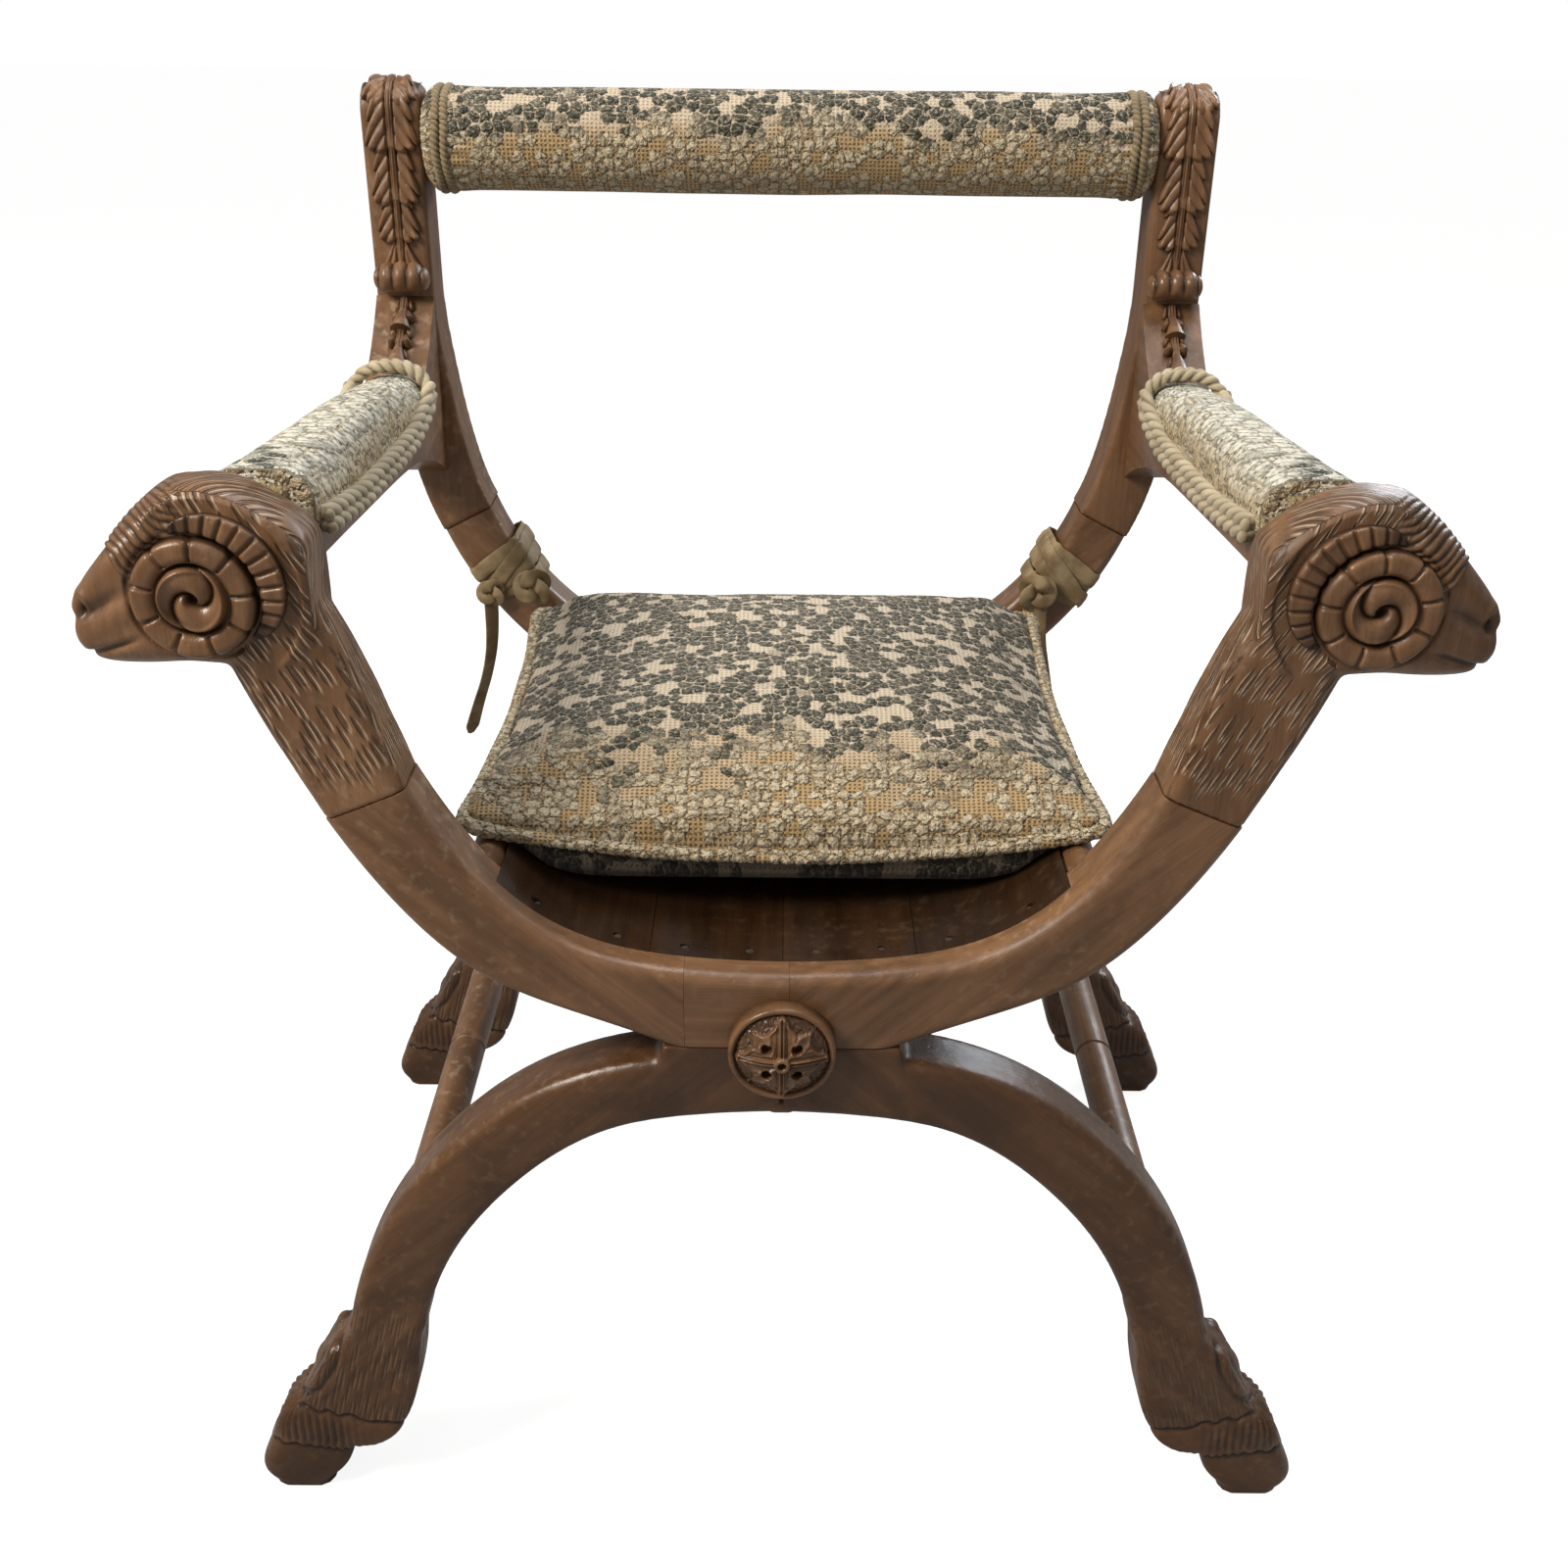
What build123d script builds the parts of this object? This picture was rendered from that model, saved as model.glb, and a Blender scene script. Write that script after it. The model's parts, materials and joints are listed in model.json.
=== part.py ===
"""Carved X-frame armchair with ram's heads, hoof feet, padded arms and crest, and a loose seat cushion.

Millimetres. X is to the right seen from the front, Y runs from the front to the back and Z is up. The
origin is on the floor, in the middle of the chair's box. Left pieces lie at negative X, and every left
piece is its right twin mirrored about X = 0.
"""

from build123d import *
import math
import os

os.makedirs("parts", exist_ok=True)

# ---------------------------------------------------------------- driving dimensions
# frames
frame_depth = 500.0  # front face of the front frame to the rear face of the rear frame
member_depth = 42.0  # thickness of each frame along Y
arris_radius = 8.0  # rounding of the frames' long edges
joint_gap = 0.2  # between two pieces that are glued together
hole_gap = 0.1  # between a dowel or tenon and its hole, on the radius
overrun = 1.0  # how far a cutter runs past what it cuts

# yokes: the U-shaped upper halves
yoke_dip_height = 422.0  # inner curve of both yokes at the middle
front_scarf_half_width = 209.0  # inner curve at the neck joint
front_scarf_rise = 120.0
front_root_width = 43.5
front_scarf_width = 51.0
rear_scarf_half_width = 233.0  # inner curve at the stile joint
rear_scarf_rise = 140.0
rear_yoke_width = 43.0
crotch_half_width = 72.0  # where a yoke leaves its arch
yoke_middle_depth = 48.0  # yokes' depth at the middle, down to the arches
crotch_height = yoke_dip_height - yoke_middle_depth
front_joint_left = 58.0  # distance of the two glue joints of the front yoke from the middle
front_joint_right = 4.0
# inner curves from the middle outwards, as shares of the half width and of the rise
front_shares = [(0.0, 0.0), (0.28, 0.025), (0.50, 0.10), (0.70, 0.283), (0.866, 0.60), (1.0, 1.0)]
rear_shares = [(0.0, 0.0), (0.25, 0.02), (0.445, 0.086), (0.64, 0.26), (0.82, 0.52), (1.0, 1.0)]

# arches
arch_centre_height = 94.0
arch_outer_radius = 287.0
arch_inner_radius = 238.0
arch_crown_height = 323.0  # underside of the arch at the middle
crown_flat_half_width = 58.0
crown_flat_drop = 4.0
arch_root_drop = 11.0  # arch's shoulder below the crotch
arch_shoulder_drop = 4.0  # how far the shoulder lies inside the arch's own circle
arch_shoulder_angle = 22.0  # angles from upright of the points that the arch's curves pass
arch_outer_angles = (33.0, 45.0, 60.0, 75.0)
arch_inner_angles = (75.0, 60.0, 45.0, 25.0)

# feet
ankle_height = 145.0
ankle_width = 50.0
spur_height = 68.0
fetlock_reach = 73.5  # outermost point of the fetlock from the ankle's middle
hoof_reach = 100.0  # toe's tip from the ankle's middle
hoof_length = 51.0  # along the sole
hoof_width = 48.0
hoof_corner = 12.0
pastern_height = 40.0
cleft_width = 7.0
cleft_length = 26.0
cleft_share = 0.8  # height of the cleft, as a share of the pastern's
# fetlock sections: share of the way from spur to ankle, setback behind, share of the reach in front
fetlock_stations = [(0.805, 4.5, 0.46), (0.53, 7.5, 0.69), (0.26, 11.5, 0.81), (0.0, 17.5, 1.0)]
fetlock_brim = 10.0  # height of the spur's brim under its widest section
fetlock_brim_reach = 7.0  # how far the brim steps out again in front
fetlock_proud = 0.8  # how far the fetlock stands out from the arch's faces
pastern_setback = 50.0  # pastern behind the foot, from the ankle's back
# hoof sections: share of the pastern's height, setback of the heel and of the toe, narrowing
hoof_stations = [
    (0.0, 0.0, 8.0, 6.0),
    (0.25, -5.5, 2.0, 1.0),
    (0.5, -13.0, 0.0, 0.0),
    (0.8, -17.0, 4.0, 1.0),
    (1.1, -24.0, 10.0, 3.0),
    (1.35, -28.0, 24.0, 14.0),
]

# ram's heads
neck_lean = 19.0  # sideways from the neck joint to the middle of the neck, on the inner side
neck_rise = 64.0
nape_rise = 113.0  # neck joint to the middle of the nape
head_reach = 168.0  # neck joint to the muzzle's tip
head_length = 132.0
head_height = 100.0
head_drop = 36.0  # nape's middle to the head's own zero height
head_thickness = 50.0
horn_setback = 70.0  # horn's middle from the muzzle's tip
horn_radius = 33.0
horn_thickness = 18.0
horn_proud = 9.0
horn_curl_offset = 3.0  # inner curl's middle in front of the horn's
horn_curl_share = 0.75  # inner curl's thickness to the horn's
# neck sections above the joint: sideways and upwards from the joint's middle, tilt, width, corner
neck_stations = [
    (26.0, 64.0, 19.0, 60.0, 11.0),
    (40.0, 98.0, 24.0, 60.0, 14.0),
    (52.0, 126.0, 26.0, 52.0, 16.0),
]
# head sections: share of the length, lower and upper edge as shares of the height, share of thickness
head_stations = [
    (0.02, 0.22, 0.58, 0.80),
    (0.13, -0.10, 0.79, 0.94),
    (0.38, -0.06, 0.94, 1.00),
    (0.56, -0.05, 0.90, 0.98),
    (0.72, -0.06, 0.74, 0.90),
    (0.86, -0.06, 0.54, 0.78),
    (0.95, -0.03, 0.40, 0.66),
    (1.00, 0.06, 0.26, 0.48),
]
head_corner_share = 0.36

# rosette
rosette_diameter = 64.0
rosette_rise = 2.0  # rosette's middle over the joint that it covers
rosette_height = crotch_height + rosette_rise
rosette_proud = 24.0
rosette_base_thickness = 9.0
rosette_base_rounding = 4.0
rosette_rim_radius = 3.5
rosette_rim_inset = 5.0
rosette_button_diameter = 9.0
rosette_button_proud = 5.0
rosette_button_bore = 3.2
rosette_dome_ratio = 2.2  # dome's sphere radius to the rosette's radius
rosette_leaf_radius = 6.5
rosette_leaf_tip_radius = 1.2
rosette_leaf_tilt = 12.0
rosette_peg_diameter = 8.0
rosette_peg_x = -10.0
rosette_peg_rise = 5.0  # peg above the rosette's middle
rosette_peg_length = 22.0

# stiles
stile_width = 42.5
stile_straight_height = 727.0
stile_straight_half_width = 264.5  # inner faces of the stiles
chair_height = 872.0
acanthus_thickness = 6.0
acanthus_top_width = 37.0
acanthus_bottom_width = 26.0
leaf_roll_diameter = 24.0
leaf_roll_height = 740.0
# stile's inner face between its foot and its straight: shares of the spread and of the lift
stile_shares = [(0.44, 0.24), (0.87, 0.70)]

# crest
crest_height = 833.0
crest_diameter = 71.0
crest_core_diameter = 34.0
crest_tenon_diameter = 20.0
crest_tenon_length = 20.0
crest_end_rounding = 5.0
crest_gimp_thickness = 2.5
crest_gimp_width = 12.0
crest_gimp_inset = 7.0
crest_gimp_rounding = 1.0

# arms
arm_front_x = 281.0
arm_rail_front_width = 54.0
arm_rail_middle_width = 47.0
arm_rail_thickness = 16.0
arm_front_height = 668.0  # middle of the rail at the ram's nape
arm_low_height = 645.0  # middle of the rail where it is lowest
arm_sweep = 80.0  # top of the up-sweep on the stile over the low place
arm_top_height = arm_low_height + arm_sweep
arm_foot_height = 592.0  # underside of the rail at the stile
# rail's upper edge: share of the run, height over its lowest as a share of the rise
rail_over_shares = [(0.22, 0.13), (0.45, 0.04), (0.62, 0.0), (0.76, 0.08)]
rail_over_shares += [(0.86, 0.35), (0.93, 0.63), (1.0, 1.0)]
# rail's lower edge: share of the run, height over its lowest as a share of the drop to the foot
rail_under_shares = [(0.2, 0.35), (0.4, 0.18), (0.6, 0.0), (0.78, -0.27), (1.0, -1.0)]
# pad's top: share of the run, height over the rail's lowest as shares of the rise and of the thickness
pad_over_shares = [(0.38, 0.08, 1.0), (0.6, 0.0, 1.0), (0.78, 0.0, 0.80), (0.86, 0.38, 0.0)]
pad_bed_points = 6  # points of the rail's upper edge that lie under the pad
arm_slim_start = 0.62  # shares of the run between which the rail slims to the stile's width
arm_slim_end = 0.78
husk_length = 17.0
husk_diameter = 15.0
husk_tip_diameter = 4.0
husk_shares = (0.18, 0.62)
pad_width = 62.0
pad_rear_width = 50.0
pad_front_thickness = 36.0
pad_rear_thickness = 38.0
pad_crown_radius = 19.0
pad_gap = 0.3
pad_gimp_share = 0.80  # where the braid crosses the pad near its rear end
pad_gimp_tilt = 38.0
gimp_thickness = 3.5
gimp_height = 9.0
gimp_lift = 1.0  # braid's lower edge above the rail's top

# stretchers
stretcher_height = 194.0
stretcher_diameter = 27.0
stretcher_ring_spacing = 105.0
stretcher_groove_depth = 1.5
stretcher_groove_radius = 2.0
stretcher_groove_spacing = 8.0
stretcher_tenon_diameter = 18.0
stretcher_tenon_length = 25.0

# seat
board_thickness = 13.0
board_width = 79.0  # the two middle boards; the outer ones run on to the seat's edge
board_gap = 0.4
front_lip = 20.0  # yoke left in front of the boards
housing_headroom = 12.0  # how far the yokes are cut away above the boards
seat_half_width = 166.0
side_rail_diameter = 22.0
side_rail_gap = 1.0
side_rail_tenon_diameter = 14.0
side_rail_tenon_length = 20.0
nail_head_diameter = 5.0
nail_head_thickness = 1.2
nail_diameter = 2.4
nail_length = 22.0
nail_inset = 20.0  # from the board's joints

# hidden dowels
dowel_diameter = 10.0
dowel_length = 50.0
dowel_inset = 10.0  # from the frame's faces
dowel_rise = 20.0  # level dowels above the crotch
upright_dowel_x = 40.0
upright_dowel_rise = 17.0  # tops of the upright dowels above the crotch
arm_dowel_diameter = 8.0
arm_dowel_length = 36.0
arm_dowel_front_reach = 10.0  # how far the front dowel goes into the rail

# cushion
cushion_width = 392.0
cushion_depth = 358.0
cushion_setback = 65.0  # cushion's front corners from the front face of the front frame
cushion_crown_height = 532.0
cushion_front_height = 487.0  # seam at the front corners
cushion_rear_height = 490.0  # seam at the rear corners
cushion_waist = 10.0  # how far each side pulls in between the corners
cushion_front_sag = 22.0
cushion_rear_sag = 14.0
cushion_side_sag = 2.0
cushion_front_roll = 1.3  # underside's front and rear ends below the seam, as shares of the seam's sag
cushion_rear_roll = 1.6
# underside between its ends: share of the depth, height over the seat's lowest
cushion_under_lifts = [(0.1, 13.2), (0.3, 0.0), (0.7, 0.0), (0.9, 18.2)]
cushion_shoulder = 0.17  # share of the depth at which the top has most of its rise
cushion_shoulder_lift = 0.7
cushion_gap = 0.5  # between the cushion and what it lies on
cushion_side_edge = 2.0  # half height of the stuffed edge beside the seam
piping_diameter = 9.0
piping_gap = 0.3
piping_corner_swell = 0.4

# ties
tie_height = 520.0  # where the band crosses the yoke's inner edge
tie_width = 12.0
tie_thickness = 2.2
tie_gap = 0.6
knot_diameter = 26.0
knot_inset = 24.0  # knot's middle from the middle of the yoke, towards the seat
knot_drop = 8.0
knot_flat_drop = 8.0  # knot's lower flat under its middle
knot_seat = 3.0  # how far the knot is pressed flat against the yoke
loop_diameter = 18.0
loop_offset = 12.0  # the left tie's loop outside the middle of the yoke
loop_drop = 16.0
loop_flat_drop = 6.0
tail_diameter = 6.0
tail_spacing = 8.0
tail_arc_share = 0.45

# ---------------------------------------------------------------- derived places
crest_gimp_diameter = crest_diameter + 2 * (crest_gimp_thickness + pad_gap)
crest_overhang = (crest_gimp_diameter - member_depth) / 2
front_y = (rosette_proud - frame_depth - crest_overhang) / 2
front_back_y = front_y + member_depth
rear_back_y = front_y + frame_depth
rear_y = rear_back_y - member_depth
front_mid_y = front_y + member_depth / 2
rear_mid_y = rear_y + member_depth / 2
mean_arch_radius = (arch_outer_radius + arch_inner_radius) / 2
right = Plane.YZ
far = 2 * frame_depth + chair_height  # further out than any piece
half_joint = joint_gap / 2


def arch_x(height):
    """Where the arch's middle line is at a height."""
    return math.sqrt(mean_arch_radius**2 - (height - arch_centre_height) ** 2)


ankle_x = arch_x(ankle_height)
stretcher_x = arch_x(stretcher_height)


# ---------------------------------------------------------------- helpers
def at(points, y):
    """Outline points given as (x, z), placed at depth y."""
    return [(x, y, z) for x, z in points]


def beside(points, widths):
    """Points moved square to the run of the line, each by its own width, away from the middle."""
    moved = []
    last = len(points) - 1
    for i, width in enumerate(widths):
        if width is None:
            continue
        x0, z0 = points[max(i - 1, 0)]
        x1, z1 = points[min(i + 1, last)]
        run = math.hypot(x1 - x0, z1 - z0)
        x, z = points[i]
        moved.append((x + width * (z1 - z0) / run, z - width * (x1 - x0) / run))
    return moved


def mirrored(points):
    """The points on the other side of X = 0, in the opposite order."""
    return [(-x, z) for x, z in reversed(points)]


def between_points(first, second, share):
    """Point at a share of the way from the first point to the second."""
    return tuple(a + share * (b - a) for a, b in zip(first, second))


def height_on(points, x):
    """Height of a rising line of (x, z) points at x."""
    for first, second in zip(points, points[1:]):
        if x <= second[0]:
            return between_points(first, second, (x - first[0]) / (second[0] - first[0]))[1]
    return points[-1][1]


def slab(edges, depth):
    """Solid of the closed outline, running back along Y."""
    return extrude(make_face(edges), amount=depth, dir=(0, 1, 0))


def block(x0, x1, y0, y1, z0, z1):
    """Box between its corners."""
    centre = Pos((x0 + x1) / 2, (y0 + y1) / 2, (z0 + z1) / 2)
    return centre * Box(x1 - x0, y1 - y0, z1 - z0)


def rod_x(radius, x0, x1, y, z):
    """Round rod along X."""
    return Pos((x0 + x1) / 2, y, z) * Rot(0, 90, 0) * Cylinder(radius, x1 - x0)


def rod_y(radius, x, y0, y1, z):
    """Round rod along Y."""
    return Pos(x, (y0 + y1) / 2, z) * Rot(90, 0, 0) * Cylinder(radius, y1 - y0)


def rod_z(radius, x, y, z0, z1):
    """Round rod along Z."""
    return Pos(x, y, (z0 + z1) / 2) * Cylinder(radius, z1 - z0)


def round_rim(solid, y, keep):
    """Rounds a frame member's edges that lie in its front or rear face and pass the keep test."""
    faces = (y, y + member_depth)
    rim = []
    for edge in solid.edges():
        box = edge.bounding_box()
        flat = any(abs(box.min.Y - face) < 0.01 and abs(box.max.Y - face) < 0.01 for face in faces)
        if flat and keep(edge.center()):
            rim.append(edge)
    return fillet(rim, arris_radius)


def level_section(x0, x1, y, z, width, corner):
    """Rounded rectangle lying level at height z."""
    plane = Plane(origin=((x0 + x1) / 2, y, z), z_dir=(0, 0, 1))
    return plane * RectangleRounded(x1 - x0, width, corner)


def limb_section(x, z, tilt, y, width, depth, corner):
    """Rounded rectangle across a limb; tilt is the limb's angle from upright, towards positive X."""
    lean = math.radians(tilt)
    plane = Plane(
        origin=(x, y, z),
        x_dir=(math.cos(lean), 0, -math.sin(lean)),
        z_dir=(math.sin(lean), 0, math.cos(lean)),
    )
    return plane * RectangleRounded(width, depth, corner)


def between(shape, x0, x1):
    """The part of a shape between two places along X."""
    return shape & block(x0, x1, -far, far, 0, far)


def save(name, *solids):
    """Writes one node."""
    shape = solids[0] if len(solids) == 1 else Compound(children=list(solids))
    shape.label = name
    export_step(shape, f"parts/{name}.step")


def save_pair(name, shape):
    """Writes a piece at positive X as the right one and its mirror image as the left one."""
    save(f"{name}_right", shape)
    save(f"{name}_left", mirror(shape, about=right))


# ---------------------------------------------------------------- yokes
def inner_curve(shares, half_width, rise):
    """Half of a yoke's inner curve, from the middle to the joint with the neck or the stile."""
    return [(sx * half_width, yoke_dip_height + sz * rise) for sx, sz in shares]


front_inner = inner_curve(front_shares, front_scarf_half_width, front_scarf_rise)
rear_inner = inner_curve(rear_shares, rear_scarf_half_width, rear_scarf_rise)
scarf_x, scarf_z = front_inner[-1]
neck_inner = (scarf_x + neck_lean, scarf_z + neck_rise)
stile_joint_x, stile_joint_z = rear_inner[-1]
stile_lift = stile_straight_height - stile_joint_z
stile_spread = stile_straight_half_width - stile_joint_x
stile_inner = [rear_inner[-1]]
for sx, sz in stile_shares:
    stile_inner.append((stile_joint_x + sx * stile_spread, stile_joint_z + sz * stile_lift))
stile_inner += [(stile_straight_half_width, stile_straight_height)]

outer_steps = len(front_inner) - 3
front_taper = (front_scarf_width - front_root_width) / outer_steps
front_widths = [None, None] + [front_root_width + i * front_taper for i in range(outer_steps + 1)]
front_outer = beside(front_inner + [neck_inner], front_widths)
rear_outer = beside(rear_inner + [stile_inner[1]], [None, None] + [rear_yoke_width] * (len(rear_inner) - 2))


def yoke(inner, outer, y):
    """Whole U of one frame, before it is cut at its glue joints."""
    crotch = (crotch_half_width, crotch_height)
    edges = [
        Spline(at(mirrored(inner) + inner[1:], y)),
        Line(*at([outer[-1], inner[-1]], y)),
        Spline(at([crotch] + outer, y)),
        Line(*at([(-crotch_half_width, crotch_height), crotch], y)),
        Spline(at(mirrored([crotch] + outer), y)),
        Line(*at([(-inner[-1][0], inner[-1][1]), (-outer[-1][0], outer[-1][1])], y)),
    ]
    body = slab(edges, member_depth)
    end_x = (inner[-1][0] + outer[-1][0]) / 2

    def long_edge(point):
        """True for the curved edges, not the ends or the base."""
        at_end = abs(abs(point.X) - end_x) < overrun
        at_base = abs(point.Z - crotch_height) < overrun and abs(point.X) < overrun
        return not at_end and not at_base

    return round_rim(body, y, long_edge)


def seat_band(thickness, gap, y0, y1, rise=0.0):
    """Curved slab between the seat's two edges, under the front yoke's inner curve raised by the rise."""
    over = [(x, z + rise) for x, z in front_inner]
    under = beside(front_inner + [neck_inner], [thickness] * len(front_inner))
    band = slab(
        [
            Spline(at(mirrored(over) + over[1:], y0)),
            Line(*at([over[-1], under[-1]], y0)),
            Spline(at(mirrored(under) + under[1:], y0)),
            Line(*at([mirrored(over)[0], mirrored(under)[0]], y0)),
        ],
        y1 - y0,
    )
    return between(band, -seat_half_width - gap, seat_half_width + gap)


def seat_floor():
    """Everything under the seat's curve raised by the cushion's gap."""
    over = [(x, z + cushion_gap) for x, z in front_inner]
    edge_x = over[-1][0]
    floor = slab(
        [
            Spline(at(mirrored(over) + over[1:], front_back_y)),
            Line(*at([over[-1], (edge_x, 0)], front_back_y)),
            Line(*at([(edge_x, 0), (-edge_x, 0)], front_back_y)),
            Line(*at([(-edge_x, 0), mirrored(over)[0]], front_back_y)),
        ],
        rear_y - front_back_y,
    )
    return between(floor, -seat_half_width - cushion_gap, seat_half_width + cushion_gap)


# ---------------------------------------------------------------- legs
def on_arch(radius, degrees):
    """Point of an arch at an angle from upright."""
    turn = math.radians(degrees)
    return (radius * math.sin(turn), arch_centre_height + radius * math.cos(turn))


def leg(y):
    """Right half of an arch, with its fetlock and hoof."""
    crotch = (crotch_half_width, crotch_height)
    joint = (0, crotch_height)
    half = ankle_width / 2
    ankle_outer = (ankle_x + half, ankle_height)
    ankle_inner = (ankle_x - half, ankle_height)
    root = (crotch_half_width, crotch_height - arch_root_drop)
    outer = [root, on_arch(arch_outer_radius - arch_shoulder_drop, arch_shoulder_angle)]
    outer += [on_arch(arch_outer_radius, angle) for angle in arch_outer_angles] + [ankle_outer]
    inner = [ankle_inner] + [on_arch(arch_inner_radius, angle) for angle in arch_inner_angles]
    crown = [(crown_flat_half_width, arch_crown_height - crown_flat_drop), (0, arch_crown_height)]
    edges = [
        Spline(at(outer, y)),
        Line(*at([ankle_outer, ankle_inner], y)),
        Spline(at(inner + crown, y)),
        Line(*at([crown[-1], joint], y)),
        Line(*at([joint, crotch], y)),
        Line(*at([crotch, root], y)),
    ]
    body = slab(edges, member_depth)

    def long_edge(point):
        """True for the arch's own curved edges."""
        at_ankle = abs(point.Z - ankle_height) < overrun
        at_root = abs(point.X - crotch_half_width) < overrun
        at_joint = abs(point.Z - crotch_height) < overrun
        return point.X > overrun and not at_ankle and not at_root and not at_joint

    body = round_rim(body, y, long_edge)
    mid_y = y + member_depth / 2
    return body + fetlock(mid_y) + hoof(mid_y)


def fetlock(y):
    """Ankle that widens to the fetlock in front of the foot and the hairy spur behind it."""
    back = ankle_x - ankle_width / 2
    climb = ankle_height - spur_height
    top_half = ankle_width / 2 + 2 * fetlock_proud
    sections = [(ankle_height + 3 * overrun, ankle_x - top_half, ankle_x + top_half)]
    for share, setback, reach in fetlock_stations:
        sections.append((spur_height + share * climb, back + setback, ankle_x + reach * fetlock_reach))
    brim_front = ankle_x + fetlock_reach + fetlock_brim_reach
    brim_back = back + (fetlock_stations[-1][1] + pastern_setback) / 3
    sections.append((spur_height - fetlock_brim, brim_back, brim_front))
    sections.append((pastern_height, back + pastern_setback + 5 * overrun, brim_front - fetlock_brim_reach))
    faces = []
    for z, x0, x1 in sections:
        faces.append(level_section(x0, x1, y, z, member_depth + 2 * fetlock_proud, arris_radius))
    return loft(faces)


def hoof(y):
    """Cloven hoof and pastern: level sections from the sole up into the fetlock."""
    toe = ankle_x + hoof_reach
    heel = toe - hoof_length
    faces = []
    for share, heel_setback, toe_setback, narrowing in hoof_stations:
        z = share * pastern_height
        x0, x1 = heel + heel_setback, toe - toe_setback
        faces.append(level_section(x0, x1, y, z, hoof_width - narrowing, hoof_corner))
    cleft = [
        (toe - cleft_length, y, -overrun),
        (toe + overrun, y - cleft_width / 2, -overrun),
        (toe + overrun, y + cleft_width / 2, -overrun),
    ]
    cleft_face = make_face(Polyline(*cleft, close=True))
    wedge = extrude(cleft_face, amount=cleft_share * pastern_height, dir=(0, 0, 1))
    return loft(faces) - wedge


# ---------------------------------------------------------------- ram's heads
muzzle_x = scarf_x + head_reach
nape_z = scarf_z + nape_rise


def ram_post():
    """Right neck and head, with a curled horn on each side."""
    y = front_mid_y
    outer_x, outer_z = front_outer[-1]
    start_x, start_z = between_points(front_inner[-1], front_outer[-1], 0.5)
    start_tilt = math.degrees(math.atan2(scarf_z - outer_z, outer_x - scarf_x))
    faces = [limb_section(start_x, start_z, start_tilt, y, front_scarf_width, member_depth, arris_radius)]
    for across, rise, tilt, width, corner in neck_stations:
        faces.append(limb_section(start_x + across, start_z + rise, tilt, y, width, member_depth, corner))
    neck = loft(faces)

    faces = []
    for along, low, high, thick in head_stations:
        x = muzzle_x + (along - 1) * head_length
        z0 = nape_z - head_drop + low * head_height
        z1 = nape_z - head_drop + high * head_height
        width = thick * head_thickness
        plane = Plane(origin=(x, y, (z0 + z1) / 2), x_dir=(0, 1, 0), z_dir=(1, 0, 0))
        faces.append(plane * RectangleRounded(width, z1 - z0, head_corner_share * min(width, z1 - z0)))
    post = neck + loft(faces)

    tube = horn_thickness / 2
    for side in (-1, 1):
        horn_y = y + side * (member_depth / 2 + horn_proud - tube)
        place = Pos(muzzle_x - horn_setback, horn_y, nape_z) * Rot(90, 0, 0)
        post += place * Torus(horn_radius - tube, tube)
        post += place * Pos(horn_curl_offset, 0, 0) * Torus(tube, horn_curl_share * tube)
    return post


# ---------------------------------------------------------------- stiles
def stile():
    """Right back post: sprung foot, straight shaft with rounded top, acanthus and rolled leaf tip."""
    top = (stile_straight_half_width, chair_height)
    outer_top = (stile_straight_half_width + stile_width, chair_height)
    widths = [None, rear_yoke_width, stile_width, stile_width]
    outer = [rear_outer[-1]] + beside(stile_inner + [top], widths)
    spring = Vector(*stile_inner[1], 0) - Vector(*rear_inner[-2], 0)
    spring = Vector(spring.X, 0, spring.Y).normalized()
    edges = [
        Spline(at(stile_inner, rear_y), tangents=[spring, (0, 0, 1)]),
        Line(*at([stile_inner[-1], top], rear_y)),
        Line(*at([top, outer_top], rear_y)),
        Line(*at([outer_top, outer[-1]], rear_y)),
        Spline(at(list(reversed(outer)), rear_y), tangents=[(0, 0, -1), -spring]),
        Line(*at([outer[0], stile_inner[0]], rear_y)),
    ]
    half = member_depth / 2
    leaf_top = chair_height - half
    outer_x = outer_top[0]
    shaft = block(0, outer_x + overrun, rear_y, rear_back_y, 0, leaf_top)
    body = slab(edges, member_depth) & (shaft + rod_x(half, 0, outer_x + overrun, rear_mid_y, leaf_top))

    leaf_x = stile_straight_half_width + stile_width / 2
    bottom_half, top_half = acanthus_bottom_width / 2, acanthus_top_width / 2
    outline = [
        (leaf_x - bottom_half, leaf_roll_height),
        (leaf_x - top_half, leaf_top),
        (leaf_x + top_half, leaf_top),
        (leaf_x + bottom_half, leaf_roll_height),
    ]
    leaf_face = make_face(Polyline(*at(outline, rear_y + overrun), close=True))
    leaf = extrude(leaf_face, amount=acanthus_thickness + overrun, dir=(0, -1, 0))
    cap = rod_x(half + acanthus_thickness, leaf_x - top_half, leaf_x + top_half, rear_mid_y, leaf_top)
    cap &= block(0, far, rear_y - acanthus_thickness, rear_mid_y, leaf_top, chair_height)
    roll_radius = leaf_roll_diameter / 2
    roll_x0, roll_x1 = stile_straight_half_width + overrun, outer_x - overrun
    roll = rod_x(roll_radius, roll_x0, roll_x1, rear_y - roll_radius / 2, leaf_roll_height)
    return body + leaf + cap + roll


# ---------------------------------------------------------------- arms
arm_rear_x = stile_straight_half_width + stile_width / 2
arm_run = rear_y - front_back_y
toe_in = math.degrees(math.atan2(arm_rear_x - arm_front_x, arm_run))
half_rail = arm_rail_thickness / 2


def arm_line(share, height):
    """Point of the arm's side view: share of the way from the ram to the stile, and height."""
    return (front_back_y + share * arm_run, height)


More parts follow.
